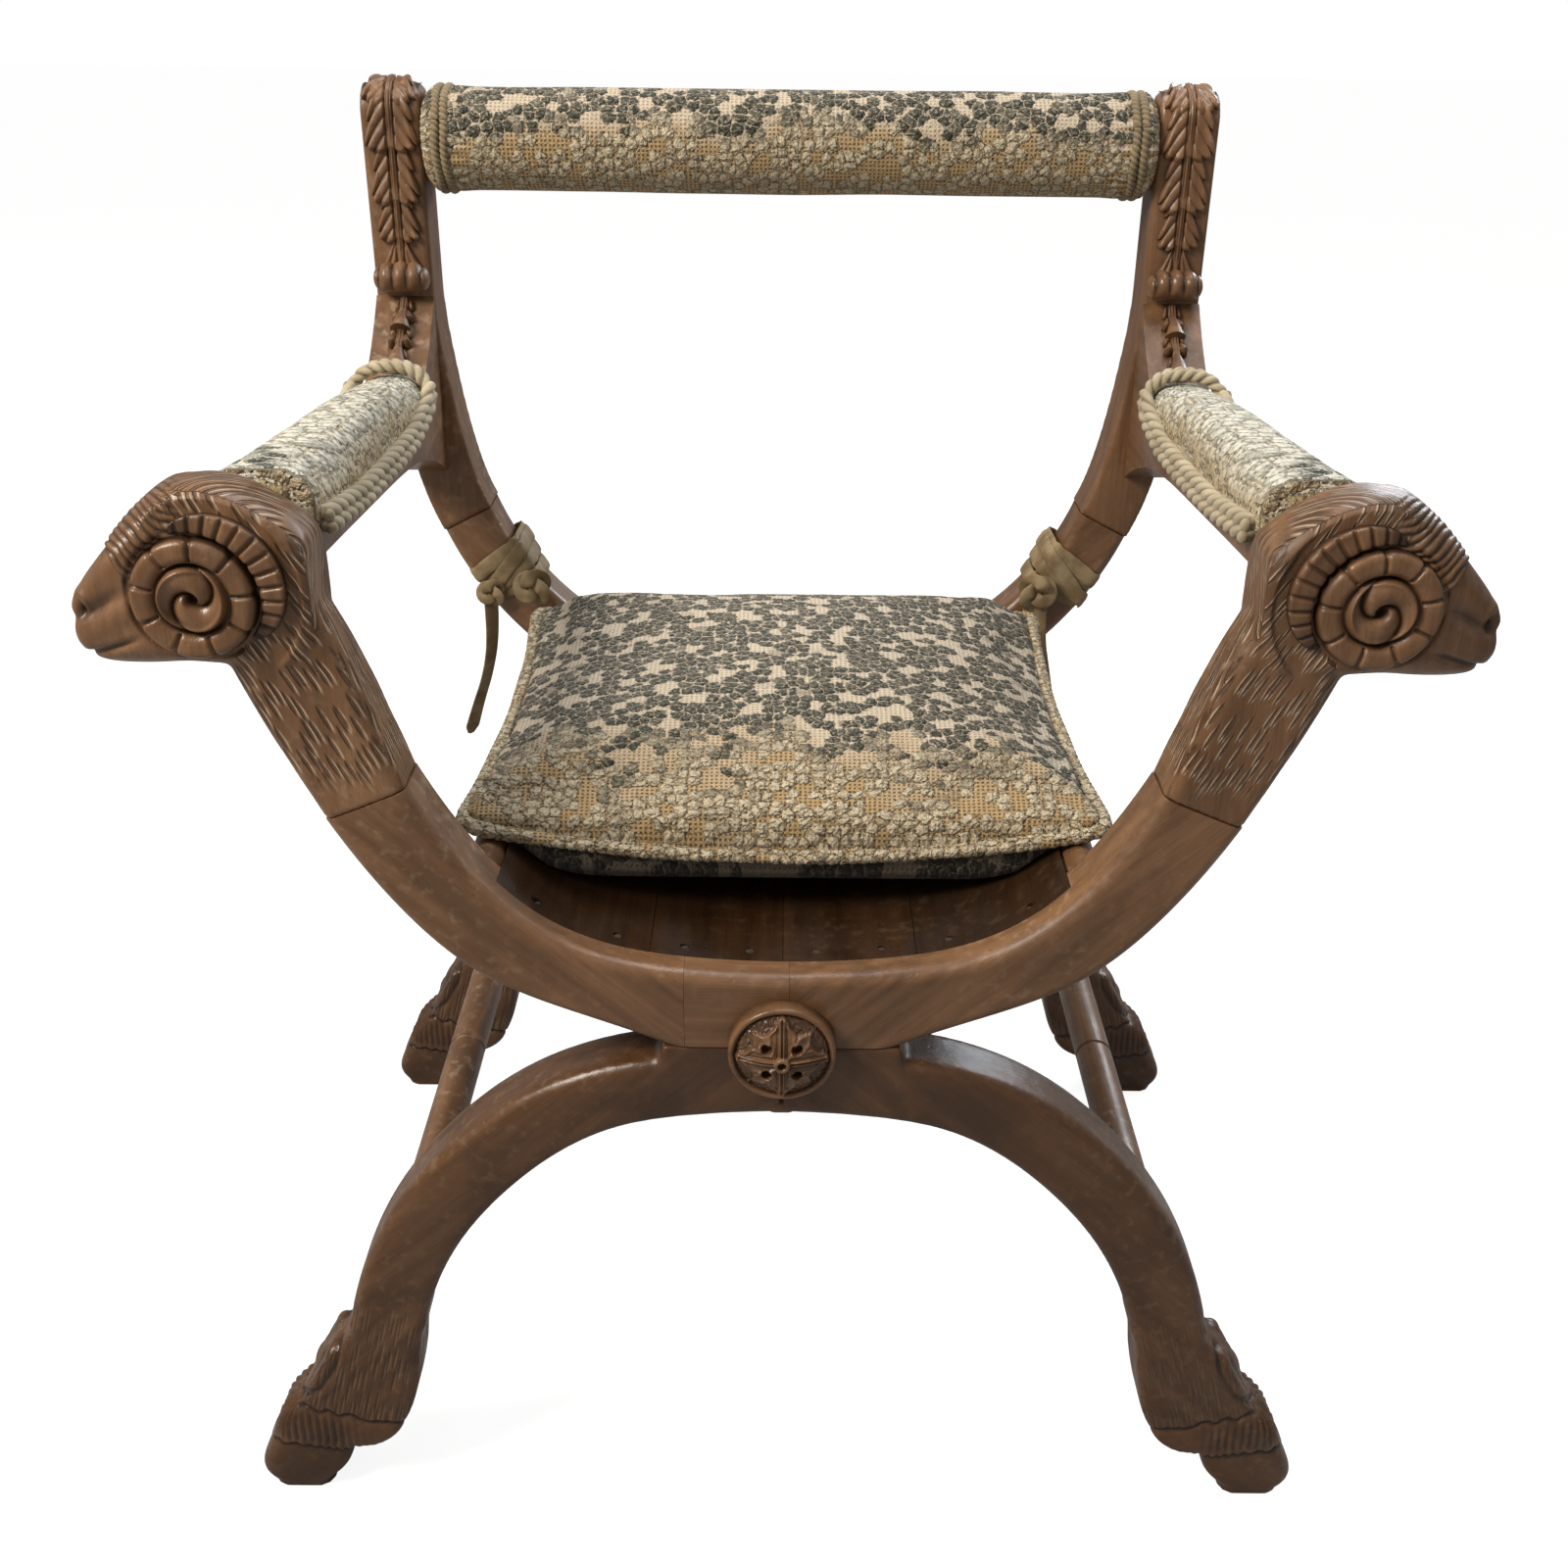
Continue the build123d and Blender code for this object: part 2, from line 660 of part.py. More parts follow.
rail_low_top = arm_low_height + half_rail
rise_height = arm_top_height - rail_low_top
rail_over = [arm_line(0.0, arm_front_height + half_rail)]
rail_over += [arm_line(share, rail_low_top + rise * rise_height) for share, rise in rail_over_shares]
rail_low_under = arm_low_height - half_rail
foot_drop = rail_low_under - arm_foot_height
rail_under = [arm_line(0.0, arm_front_height - half_rail)]
rail_under += [arm_line(share, rail_low_under + drop * foot_drop) for share, drop in rail_under_shares]
pad_over = [arm_line(0.0, arm_front_height + half_rail + pad_front_thickness)]
for share, rise, thick in pad_over_shares:
    pad_over.append(arm_line(share, rail_low_top + rise * rise_height + thick * pad_rear_thickness))
pad_bed = rail_over[:pad_bed_points]


def side_slab(over, under, width):
    """Solid of a side view in Y and Z, centred on X = 0, width across."""
    x = -width / 2
    edges = [
        Spline([(x, y, z) for y, z in over]),
        Line((x, *over[-1]), (x, *under[-1])),
        Spline([(x, y, z) for y, z in reversed(under)]),
        Line((x, *under[0]), (x, *over[0])),
    ]
    return extrude(make_face(edges), amount=width, dir=(1, 0, 0))


def plan_cut(halves):
    """Upright prism about X = 0, given as pairs of share of the arm's run and half width."""
    right_side = [(half, arm_line(share, 0)[0], 0) for share, half in halves]
    left_side = [(-x, y, z) for x, y, z in reversed(right_side)]
    return extrude(make_face(Polyline(*right_side, *left_side, close=True)), amount=far, dir=(0, 0, 1))


def placed_arm(shape):
    """Swings an arm piece in by the toe-in, about its rear end, and moves it to the right stile."""
    return Pos(arm_rear_x, rear_y, 0) * Rot(0, 0, -toe_in) * Pos(0, -rear_y, 0) * shape


def arm_rail():
    """Right wooden arm: thin under the pad, swept up to the stile, with two husks on its rise."""
    rail = side_slab(rail_over, rail_under, arm_rail_front_width)
    slim = stile_width / 2
    middle = arm_rail_middle_width / 2
    front = arm_rail_front_width / 2
    rail &= plan_cut([(0, front), (arm_slim_start, middle), (arm_slim_end, slim), (1, slim)])
    low, high = rail_over[-2:]
    slope = math.degrees(math.atan2(high[1] - low[1], high[0] - low[0]))
    for share in husk_shares:
        y, z = between_points(rail_over[-3], high, share)
        husk = Rot(slope - 90, 0, 0) * Cone(husk_diameter / 2, husk_tip_diameter / 2, husk_length)
        rail += Pos(0, y, z + husk_length / 4) * husk
    return rail


def rail_cutter(width):
    """The rail's side view raised by the pad's gap."""
    return side_slab([(y, z + pad_gap) for y, z in rail_over], rail_under, width + 2 * overrun)


def arm_pad(grow):
    """Right stuffed pad, lying on the rail, or the same solid grown to hollow or carry the braid."""
    width = pad_width + 2 * grow
    over = [(y, z + grow) for y, z in pad_over]
    body = side_slab(over, pad_bed, width)
    body &= plan_cut([(0, width / 2), (1, pad_rear_width / 2 + grow)])

    def crown_edge(edge):
        """True for the two long edges along the pad's top."""
        box = edge.bounding_box()
        long_run = box.max.Y - box.min.Y > 0.5 * arm_run
        return long_run and edge.center().Z > rail_low_top + pad_rear_thickness / 2

    return fillet([edge for edge in body.edges() if crown_edge(edge)], pad_crown_radius + grow)


def arm_gimp():
    """Right braid: along both lower edges of the pad and over its rear end."""
    grow = gimp_thickness + pad_gap
    low = [(y, z + gimp_lift) for y, z in pad_bed]
    high = [(y, z + gimp_height) for y, z in low]
    strips = side_slab(high, low, pad_width + 2 * grow)
    strips &= plan_cut([(0, pad_width / 2 + grow), (1, pad_rear_width / 2 + grow)])
    arch_y, arch_z = arm_line(pad_gimp_share, rail_low_top + pad_rear_thickness)
    hoop = Rot(-pad_gimp_tilt, 0, 0) * Box(2 * pad_width, gimp_height, 4 * pad_width)
    arch = arm_pad(grow) & Pos(0, arch_y, arch_z) * hoop
    return strips + arch - arm_pad(pad_gap) - rail_cutter(2 * pad_width)


# ---------------------------------------------------------------- crest
crest_reach = stile_straight_half_width - joint_gap


def crest_core():
    """Turned rail inside the roll, with a tenon at each end."""
    tenon_reach = crest_reach + crest_tenon_length
    core = rod_x(crest_core_diameter / 2, -crest_reach, crest_reach, rear_mid_y, crest_height)
    return core + rod_x(crest_tenon_diameter / 2, -tenon_reach, tenon_reach, rear_mid_y, crest_height)


def crest_roll():
    """Stuffed roll round the core."""
    bore_radius = crest_core_diameter / 2 + pad_gap
    reach = crest_reach - overrun
    roll = rod_x(crest_diameter / 2, -reach, reach, rear_mid_y, crest_height)
    roll = fillet(roll.edges().filter_by(GeomType.CIRCLE), crest_end_rounding)
    return roll - rod_x(bore_radius, -crest_reach, crest_reach, rear_mid_y, crest_height)


def crest_rings():
    """Braid round each end of the roll."""
    rings = []
    for side in (-1, 1):
        outer_x = side * (crest_reach - crest_gimp_inset)
        x0, x1 = sorted((outer_x, outer_x - side * crest_gimp_width))
        ring = rod_x(crest_gimp_diameter / 2, x0, x1, rear_mid_y, crest_height)
        ring = fillet(ring.edges().filter_by(GeomType.CIRCLE), crest_gimp_rounding)
        bore = rod_x(crest_diameter / 2 + pad_gap, x0 - overrun, x1 + overrun, rear_mid_y, crest_height)
        rings.append(ring - bore)
    return rings


# ---------------------------------------------------------------- stretchers and side rails
def stretcher():
    """Right turned stretcher with ring grooves and a tenon at each end."""
    radius = stretcher_diameter / 2
    body = rod_y(radius, stretcher_x, front_back_y + joint_gap, rear_y - joint_gap, stretcher_height)
    middle = (front_back_y + rear_y) / 2
    groove_radius = radius + stretcher_groove_radius - stretcher_groove_depth
    for ring in (-1, 0, 1):
        for side in (-1, 1):
            y = middle + ring * stretcher_ring_spacing + side * stretcher_groove_spacing / 2
            place = Pos(stretcher_x, y, stretcher_height) * Rot(90, 0, 0)
            body -= place * Torus(groove_radius, stretcher_groove_radius)
    reach = stretcher_tenon_length
    tenon_radius = stretcher_tenon_diameter / 2
    return body + rod_y(tenon_radius, stretcher_x, front_back_y - reach, rear_y + reach, stretcher_height)


side_rail_x = seat_half_width + side_rail_gap + side_rail_diameter / 2
side_rail_z = height_on(front_inner, seat_half_width) - side_rail_diameter / 2


def side_rail(grow=0.0):
    """Right round rail at the seat's edge, tenoned into both yokes, or a grown copy that clears it."""
    radius = side_rail_diameter / 2 + grow
    body = rod_y(radius, side_rail_x, front_back_y + joint_gap, rear_y - joint_gap, side_rail_z)
    reach = side_rail_tenon_length + grow
    tenon_radius = side_rail_tenon_diameter / 2 + grow
    return body + rod_y(tenon_radius, side_rail_x, front_back_y - reach, rear_y + reach, side_rail_z)


# ---------------------------------------------------------------- rosette
rosette_peg_z = rosette_height + rosette_peg_rise


def rosette():
    """Domed boss with a rim, four pointed leaves, a bored button and its peg."""
    radius = rosette_diameter / 2
    tip_y = front_y - rosette_proud
    base_y = front_y - rosette_base_thickness
    base = rod_y(radius, 0, base_y, front_y - joint_gap, rosette_height)
    front_rim = base.edges().filter_by(GeomType.CIRCLE).sort_by(Axis.Y)[0]
    base = fillet(front_rim, rosette_base_rounding)
    inner_radius = radius - rosette_rim_inset
    rim = Pos(0, base_y, rosette_height) * Rot(90, 0, 0) * Torus(inner_radius, rosette_rim_radius)
    sphere_radius = rosette_dome_ratio * radius
    dome_tip = tip_y + rosette_button_proud
    dome = Pos(0, dome_tip + sphere_radius, rosette_height) * Sphere(sphere_radius)
    dome &= rod_y(inner_radius, 0, tip_y, front_y - joint_gap - overrun, rosette_height)
    body = base + rim + dome
    body += rod_y(rosette_button_diameter / 2, 0, tip_y, base_y, rosette_height)
    leaf_length = inner_radius - rosette_button_diameter / 2
    leaf = Cone(rosette_leaf_radius, rosette_leaf_tip_radius, leaf_length)
    leaf_middle = (inner_radius + rosette_button_diameter / 2) / 2
    for quarter in range(4):
        turn = Pos(0, dome_tip + rosette_leaf_radius / 2, rosette_height) * Rot(0, 90 * quarter, 0)
        body += turn * Pos(0, 0, leaf_middle) * Rot(rosette_leaf_tilt, 0, 0) * leaf
    body -= rod_y(rosette_button_bore / 2, 0, tip_y - overrun, dome_tip, rosette_height)
    peg_end = front_y + rosette_peg_length
    return body + rod_y(rosette_peg_diameter / 2, rosette_peg_x, base_y, peg_end, rosette_peg_z)


# ---------------------------------------------------------------- cushion
cushion_front_y = front_y + cushion_setback
cushion_back_y = cushion_front_y + cushion_depth
cushion_mid_y = (cushion_front_y + cushion_back_y) / 2
cushion_half = cushion_width / 2


def piping_route():
    """Each side of the seam as its start, middle and end, right side first."""
    x, y0, y1 = cushion_half, cushion_front_y, cushion_back_y
    z0, z1 = cushion_front_height, cushion_rear_height
    side_z = (z0 + z1) / 2 - cushion_side_sag
    corners = [(x, y0, z0), (x, y1, z1), (-x, y1, z1), (-x, y0, z0)]
    middles = [
        (x - cushion_waist, cushion_mid_y, side_z),
        (0, y1 - cushion_waist / 2, z1 - cushion_rear_sag),
        (cushion_waist - x, cushion_mid_y, side_z),
        (0, y0 + cushion_waist / 2, z0 - cushion_front_sag),
    ]
    return [(corners[i], middles[i], corners[(i + 1) % 4]) for i in range(4)]


def piping_pieces(grow):
    """The seam's four arcs and corner balls, as round solids."""
    radius = piping_diameter / 2 + grow
    pieces = []
    for start, middle, end in piping_route():
        arc = ThreePointArc(start, middle, end)
        section = Plane(origin=arc @ 0, z_dir=arc % 0) * Circle(radius)
        pieces.append(sweep(section, path=arc))
        pieces.append(Pos(*start) * Sphere(radius + piping_corner_swell))
    return pieces


def piping():
    """Round welt: the arcs and balls in one piece."""
    first, *others = piping_pieces(0.0)
    for other in others:
        first += other
    return first


def cushion():
    """Stuffed cushion: waisted plan, crowned top, and an underside that lies in the seat's curve."""
    x = cushion_half + overrun
    low_edge = cushion_front_height - cushion_side_edge
    high_edge = cushion_rear_height + cushion_side_edge
    bed = [point for point in front_inner if point[0] < seat_half_width]
    under = [(-x, low_edge)] + mirrored(bed)[:-1] + bed + [(x, low_edge)]
    y_far = cushion_front_y - 5 * overrun
    across = slab(
        [
            ThreePointArc(*at([(-x, high_edge), (0, cushion_crown_height), (x, high_edge)], y_far)),
            Line(*at([(x, high_edge), (x, low_edge)], y_far)),
            Spline(at(list(reversed(under)), y_far)),
            Line(*at([(-x, low_edge), (-x, high_edge)], y_far)),
        ],
        cushion_depth + 10 * overrun,
    )
    y0, y1 = cushion_front_y - overrun, cushion_back_y + overrun
    bottom = yoke_dip_height - overrun
    crown = cushion_crown_height
    along_under = [(y0, cushion_front_height - cushion_front_roll * cushion_front_sag)]
    along_under += [(y0 + share * cushion_depth, bottom + lift) for share, lift in cushion_under_lifts]
    along_under += [(y1, cushion_rear_height - cushion_rear_roll * cushion_rear_sag)]
    front_height = between_points((cushion_front_height,), (crown,), cushion_shoulder_lift)[0]
    rear_height = between_points((cushion_rear_height,), (crown,), cushion_shoulder_lift)[0]
    along_over = [
        (y0, cushion_front_height + 2 * cushion_side_edge),
        (y0 + cushion_shoulder * cushion_depth, front_height),
        (cushion_mid_y, crown),
        (y1 - cushion_shoulder * cushion_depth, rear_height),
        (y1, cushion_rear_height + 2 * cushion_side_edge),
    ]
    body = across & side_slab(along_over, along_under, 2 * x + overrun)
    plan = []
    for start, middle, end in piping_route():
        plan.append(ThreePointArc(*[(px, py, 0) for px, py, _ in (start, middle, end)]))
    body &= extrude(make_face(plan), amount=far, dir=(0, 0, 1))
    for piece in piping_pieces(piping_gap):
        body -= piece
    clear_rail = side_rail(cushion_gap)
    return body - seat_floor() - clear_rail - mirror(clear_rail, about=right)


# ---------------------------------------------------------------- ties
tie_low, tie_high = rear_inner[-2:]
tie_lean = math.atan2(tie_high[0] - tie_low[0], tie_high[1] - tie_low[1])
tie_x = between_points(tie_low, tie_high, (tie_height - tie_low[1]) / (tie_high[1] - tie_low[1]))[0]
tie_x += rear_yoke_width / 2 * math.cos(tie_lean)
tie_z = tie_height - rear_yoke_width / 2 * math.sin(tie_lean)
knot_x = tie_x - knot_inset
knot_y = rear_y - knot_diameter / 2 + knot_seat
knot_z = tie_z - knot_drop
loop_x = tie_x + loop_offset
loop_y = rear_y - loop_diameter / 2 + knot_seat
loop_z = tie_z - loop_drop


def knob(x, y, z, diameter, flat_drop):
    """Ball of knotted tape with a level flat under it, where a loose end leaves."""
    radius = diameter / 2
    under = block(x - radius, x + radius, y - radius, y + radius, z - radius, z - flat_drop)
    return Pos(x, y, z) * Sphere(radius) - under


def tie():
    """Right tape: a band round the yoke with a knot at its inner front corner."""
    tilt = math.degrees(tie_lean)
    up = (math.sin(tie_lean), 0, math.cos(tie_lean))

    def wrap(grow, reach):
        """Solid round the yoke, grown on every side, of a given half height along the limb."""
        width, depth = rear_yoke_width + 2 * grow, member_depth + 2 * grow
        section = limb_section(tie_x, tie_z, tilt, rear_mid_y, width, depth, arris_radius + grow)
        return extrude(section, amount=reach, dir=up, both=True)

    band = wrap(tie_gap + tie_thickness, tie_width / 2) - wrap(tie_gap, tie_width)
    return band + knob(knot_x, knot_y, knot_z, knot_diameter, knot_flat_drop)


def tail(points):
    """Hanging end of a tape: straight runs joined by arcs as large as the runs allow."""
    vectors = [Vector(*p) for p in points]
    radii = []
    for before, here, after in zip(vectors, vectors[1:], vectors[2:]):
        turn = math.radians((here - before).get_angle(after - here))
        shorter = min((here - before).length, (after - here).length)
        radii.append(tail_arc_share * shorter / math.tan(turn / 2))
    print("tail arc radii", [round(r, 1) for r in radii])
    path = FilletPolyline(*points, radius=radii)
    section = Plane(origin=path @ 0, z_dir=path % 0) * Circle(tail_diameter / 2)
    body = sweep(section, path=path)
    ratio = body.volume / (math.pi * tail_diameter**2 / 4 * path.length)
    print("tail length", round(path.length, 1), "volume ratio", round(ratio, 4))
    return body


# routes of the loose ends, down from where each leaves its knot or loop
left_tail_route = [(0, 0, 0), (0, 0, -30), (-6, -3, -62), (-17, -4, -92), (-25, -1, -118)]
right_tail_routes = [
    [(0, 0, 0), (0, 0, -28), (6, -2, -58), (12, -1, -88), (15, 2, -117)],
    [(0, 0, 0), (0, 0, -26), (5, -4, -52), (10, -6, -80), (11, -4, -106)],
]


def placed_route(route, x, y, z):
    """A route moved to its start."""
    return [(x + dx, y + dy, z + dz) for dx, dy, dz in route]


# ---------------------------------------------------------------- fastenings
boards_y0 = front_y + front_lip
boards_y1 = rear_back_y - front_lip
dowel_radius = dowel_diameter / 2
dowel_z = crotch_height + dowel_rise
half_dowel = dowel_length / 2


def joint_dowels(y, joints):
    """Dowels of one frame: across each upright yoke joint, and down into the arch."""
    pins = []
    for x in joints:
        for offset in (dowel_inset, member_depth - dowel_inset):
            pins.append((rod_x, x - half_dowel, x + half_dowel, y + offset, dowel_z))
    top = crotch_height + upright_dowel_rise
    for x in (-upright_dowel_x, upright_dowel_x):
        pins.append((rod_z, x, y + member_depth / 2, top - dowel_length, top))
    return pins


def drill(shape, pins, radius):
    """Cuts the dowels' holes."""
    for make, *where in pins:
        shape -= make(radius + hole_gap, *where)
    return shape


def pins_of(pins, radius):
    """The dowels themselves."""
    return [make(radius, *where) for make, *where in pins]


def nail_places():
    """Where each nail's head is: (x, y, top of the head)."""
    bearing = (member_depth - front_lip) / 2
    places = []
    for x0, x1 in zip(board_joints, board_joints[1:]):
        for x in (x0 + nail_inset, x1 - nail_inset):
            lower_side = max(abs(x) - nail_head_diameter / 2, 0)
            top = height_on(front_inner, lower_side) - overrun
            places += [(x, boards_y0 + bearing, top), (x, boards_y1 - bearing, top)]
    return places


def nail(x, y, top, gap=0.0, open_top=0.0):
    """Nail with a flat head, or the hole for it, open to the top of the board."""
    head_radius = nail_head_diameter / 2 + gap
    head = rod_z(head_radius, x, y, top - nail_head_thickness - gap, top + open_top)
    return head + rod_z(nail_diameter / 2 + gap, x, y, top - nail_length - gap, top)


board_joints = [-seat_half_width, -board_width, 0.0, board_width, seat_half_width]

# ---------------------------------------------------------------- build
housing_y = (boards_y0 - joint_gap, boards_y1 + joint_gap)
housing = seat_band(board_thickness + joint_gap, joint_gap, *housing_y, rise=housing_headroom)
nail_holes = [nail(*place, gap=hole_gap, open_top=board_thickness) for place in nail_places()]
rail_holes = [side_rail(hole_gap), mirror(side_rail(hole_gap), about=right)]
front_pins = joint_dowels(front_y, (-front_joint_left, front_joint_right))
rear_pins = joint_dowels(rear_y, (0.0,))
peg_radius = rosette_peg_diameter / 2 + hole_gap
peg_end = front_y + rosette_peg_length + hole_gap
peg_hole = rod_y(peg_radius, rosette_peg_x, front_y - overrun, peg_end, rosette_peg_z)


def cut_yoke(inner, outer, y, pins):
    """One yoke with its seat housing and every hole in it."""
    body = drill(yoke(inner, outer, y) - housing, pins, dowel_radius)
    for cutter in rail_holes + nail_holes:
        body -= cutter
    return body


# front yoke in three pieces, rear yoke in two
front_yoke = cut_yoke(front_inner, front_outer, front_y, front_pins) - peg_hole
rear_yoke = cut_yoke(rear_inner, rear_outer, rear_y, rear_pins)
save("front_yoke_left", between(front_yoke, -far, -front_joint_left - half_joint))
save("front_yoke_centre", between(front_yoke, -front_joint_left + half_joint, front_joint_right - half_joint))
save("front_yoke_right", between(front_yoke, front_joint_right + half_joint, far))
rear_yoke_right = between(rear_yoke, half_joint, far)
rear_yoke_left = between(rear_yoke, -far, -half_joint)
save("rear_yoke_right", rear_yoke_right)
save("rear_yoke_left", rear_yoke_left)
save("front_dowels", *pins_of(front_pins, dowel_radius))
save("rear_dowels", *pins_of(rear_pins, dowel_radius))

# legs
tenon_reach = stretcher_tenon_length + hole_gap
hole_y = (front_back_y - tenon_reach, rear_y + tenon_reach)
stretcher_hole = rod_y(stretcher_tenon_diameter / 2 + hole_gap, stretcher_x, *hole_y, stretcher_height)
for place, y, pins in (("front", front_y, front_pins), ("rear", rear_y, rear_pins)):
    half_arch = leg(y) - stretcher_hole
    half_arch &= block(half_joint, far, -far, far, 0, crotch_height - joint_gap)
    for side, piece in (("right", half_arch), ("left", mirror(half_arch, about=right))):
        save(f"{place}_leg_{side}", drill(piece, pins, dowel_radius))

# arms
arm_dowel_radius = arm_dowel_diameter / 2
half_arm_dowel = arm_dowel_length / 2
arm_rear_z = (arm_foot_height + arm_top_height) / 2
front_pin_y = front_back_y + arm_dowel_front_reach
arm_pins = [
    (rod_y, arm_front_x, front_pin_y - arm_dowel_length, front_pin_y, arm_front_height),
    (rod_y, arm_rear_x, rear_y - half_arm_dowel, rear_y + half_arm_dowel, arm_rear_z),
]
arm_span = block(0, far, front_back_y + joint_gap, rear_y - joint_gap, 0, far)
save_pair("arm_rail", drill(placed_arm(arm_rail()) & arm_span, arm_pins, arm_dowel_radius))
save_pair("arm_pad", placed_arm(arm_pad(0.0) - rail_cutter(pad_width)) & arm_span)
save_pair("arm_gimp", placed_arm(arm_gimp()) & arm_span)
right_arm_dowels = pins_of(arm_pins, arm_dowel_radius)
save("arm_dowels", *right_arm_dowels, *[mirror(pin, about=right) for pin in right_arm_dowels])

# ram's heads, cut flat where the arm butts against the nape
arm_side_x = arm_front_x + pad_width / 2 + gimp_thickness + 2 * overrun
arm_clear = block(0, arm_side_x, front_back_y, rear_y, 0, far)
save_pair("ram_post", drill(ram_post() - arm_clear, arm_pins[:1], arm_dowel_radius))

# stiles and crest
crest_hole_reach = crest_reach + crest_tenon_length + hole_gap
crest_hole = rod_x(crest_tenon_diameter / 2 + hole_gap, 0, crest_hole_reach, rear_mid_y, crest_height)
save_pair("stile", drill(stile() - crest_hole, arm_pins[1:], arm_dowel_radius))
save("crest_rail", crest_core())
save("crest_pad", crest_roll())
save("crest_gimps", *crest_rings())

save_pair("stretcher", stretcher())
save_pair("seat_side_rail", side_rail())
save("front_rosette", rosette())

# seat boards and their nails
boards = seat_band(board_thickness, 0.0, boards_y0, boards_y1)
for hole in nail_holes:
    boards -= hole
half_board_gap = board_gap / 2
for number, (x0, x1) in enumerate(zip(board_joints, board_joints[1:]), start=1):
    save(f"seat_board_{number}", between(boards, x0 + half_board_gap, x1 - half_board_gap))
save("seat_nails", *[nail(*place) for place in nail_places()])

# cushion
save("seat_cushion", cushion())
save("cushion_piping", piping())

# ties and their loose ends
right_tie = tie()
left_tie = mirror(right_tie, about=right) + knob(-loop_x, loop_y, loop_z, loop_diameter, loop_flat_drop)
save("tie_right", right_tie - rear_yoke_right)
save("tie_left", left_tie - rear_yoke_left)
tail_top = knot_z - knot_flat_drop
for number, side in enumerate((1, -1)):
    start_x = knot_x + side * tail_spacing / 2
    route = placed_route(right_tail_routes[number], start_x, knot_y, tail_top)
    save(f"tie_tail_right_{number + 1}", tail(route))
save("tie_tail_left", tail(placed_route(left_tail_route, -loop_x, loop_y, loop_z - loop_flat_drop)))
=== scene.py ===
"""Dresses the carved X-frame armchair: wood finishes, carving, stuffed velvet, braid and ties."""

import json
import logging
import math
from collections.abc import Callable, Iterator, Sequence
from contextlib import contextmanager
from dataclasses import dataclass, field
from enum import Enum
from itertools import product

import bpy
import numpy as np
from mathutils import Matrix, Vector

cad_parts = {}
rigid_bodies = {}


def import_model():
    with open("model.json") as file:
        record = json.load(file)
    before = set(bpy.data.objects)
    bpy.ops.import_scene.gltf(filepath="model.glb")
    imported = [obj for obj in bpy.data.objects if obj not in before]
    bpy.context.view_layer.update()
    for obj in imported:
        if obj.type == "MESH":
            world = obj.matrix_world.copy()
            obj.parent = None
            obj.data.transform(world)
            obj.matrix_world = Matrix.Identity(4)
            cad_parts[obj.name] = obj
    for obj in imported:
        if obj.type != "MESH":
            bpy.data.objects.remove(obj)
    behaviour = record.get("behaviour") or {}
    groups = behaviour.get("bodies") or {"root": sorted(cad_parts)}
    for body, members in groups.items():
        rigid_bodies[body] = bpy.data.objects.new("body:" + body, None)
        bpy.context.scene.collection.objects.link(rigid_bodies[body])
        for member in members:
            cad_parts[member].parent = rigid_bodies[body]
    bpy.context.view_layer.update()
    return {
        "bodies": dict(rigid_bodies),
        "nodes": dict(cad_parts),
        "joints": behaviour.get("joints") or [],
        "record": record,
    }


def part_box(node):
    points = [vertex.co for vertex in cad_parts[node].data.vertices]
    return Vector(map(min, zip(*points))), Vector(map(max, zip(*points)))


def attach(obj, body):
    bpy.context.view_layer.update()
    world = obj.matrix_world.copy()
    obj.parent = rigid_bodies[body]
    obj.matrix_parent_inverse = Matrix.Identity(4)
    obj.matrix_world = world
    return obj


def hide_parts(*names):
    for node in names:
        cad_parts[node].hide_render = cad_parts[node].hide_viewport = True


LOG = logging.getLogger("armchair")
Array = np.ndarray
Colour = tuple[float, float, float]
Piece = bpy.types.Object
Shape = Callable[[Array, Array], Array]
Ground = Callable[[Array], tuple[Array, Array, Array, Array]]

# places shared with the frame, in millimetres
FRONT_Y = -246.65
FRONT_BACK_Y = -204.65
FRONT_MID_Y = -225.65
REAR_Y = 211.35
REAR_MID_Y = 232.35
FRAME_STEP = REAR_Y - FRONT_Y
ARM_FRONT_X = 281.0
STILE_X = 285.75
TOE_IN = math.atan2(STILE_X - ARM_FRONT_X, REAR_Y - FRONT_BACK_Y)

LOW_SHADE = 0.52  # the wood of the arches is darker than the rest


# ---------------------------------------------------------------- numbers
def smooth(low: float, high: float, value: Array) -> Array:
    """Eased step from 0 at low to 1 at high."""
    share = np.clip((value - low) / (high - low), 0.0, 1.0)
    return share * share * (3.0 - 2.0 * share)


def ridge(value: Array, width: float) -> Array:
    """Bell curve that is 1 where the value is 0."""
    return np.exp(-((value / width) ** 2))


def fuller(wave: Array, power: float) -> Array:
    """Wave from -1 to 1 with fuller turns, for rounded rectangles."""
    return np.sign(wave) * np.abs(wave) ** power


def rows(*columns: Array) -> Array:
    """Rows of coordinates from their columns."""
    return np.stack(columns, axis=1)


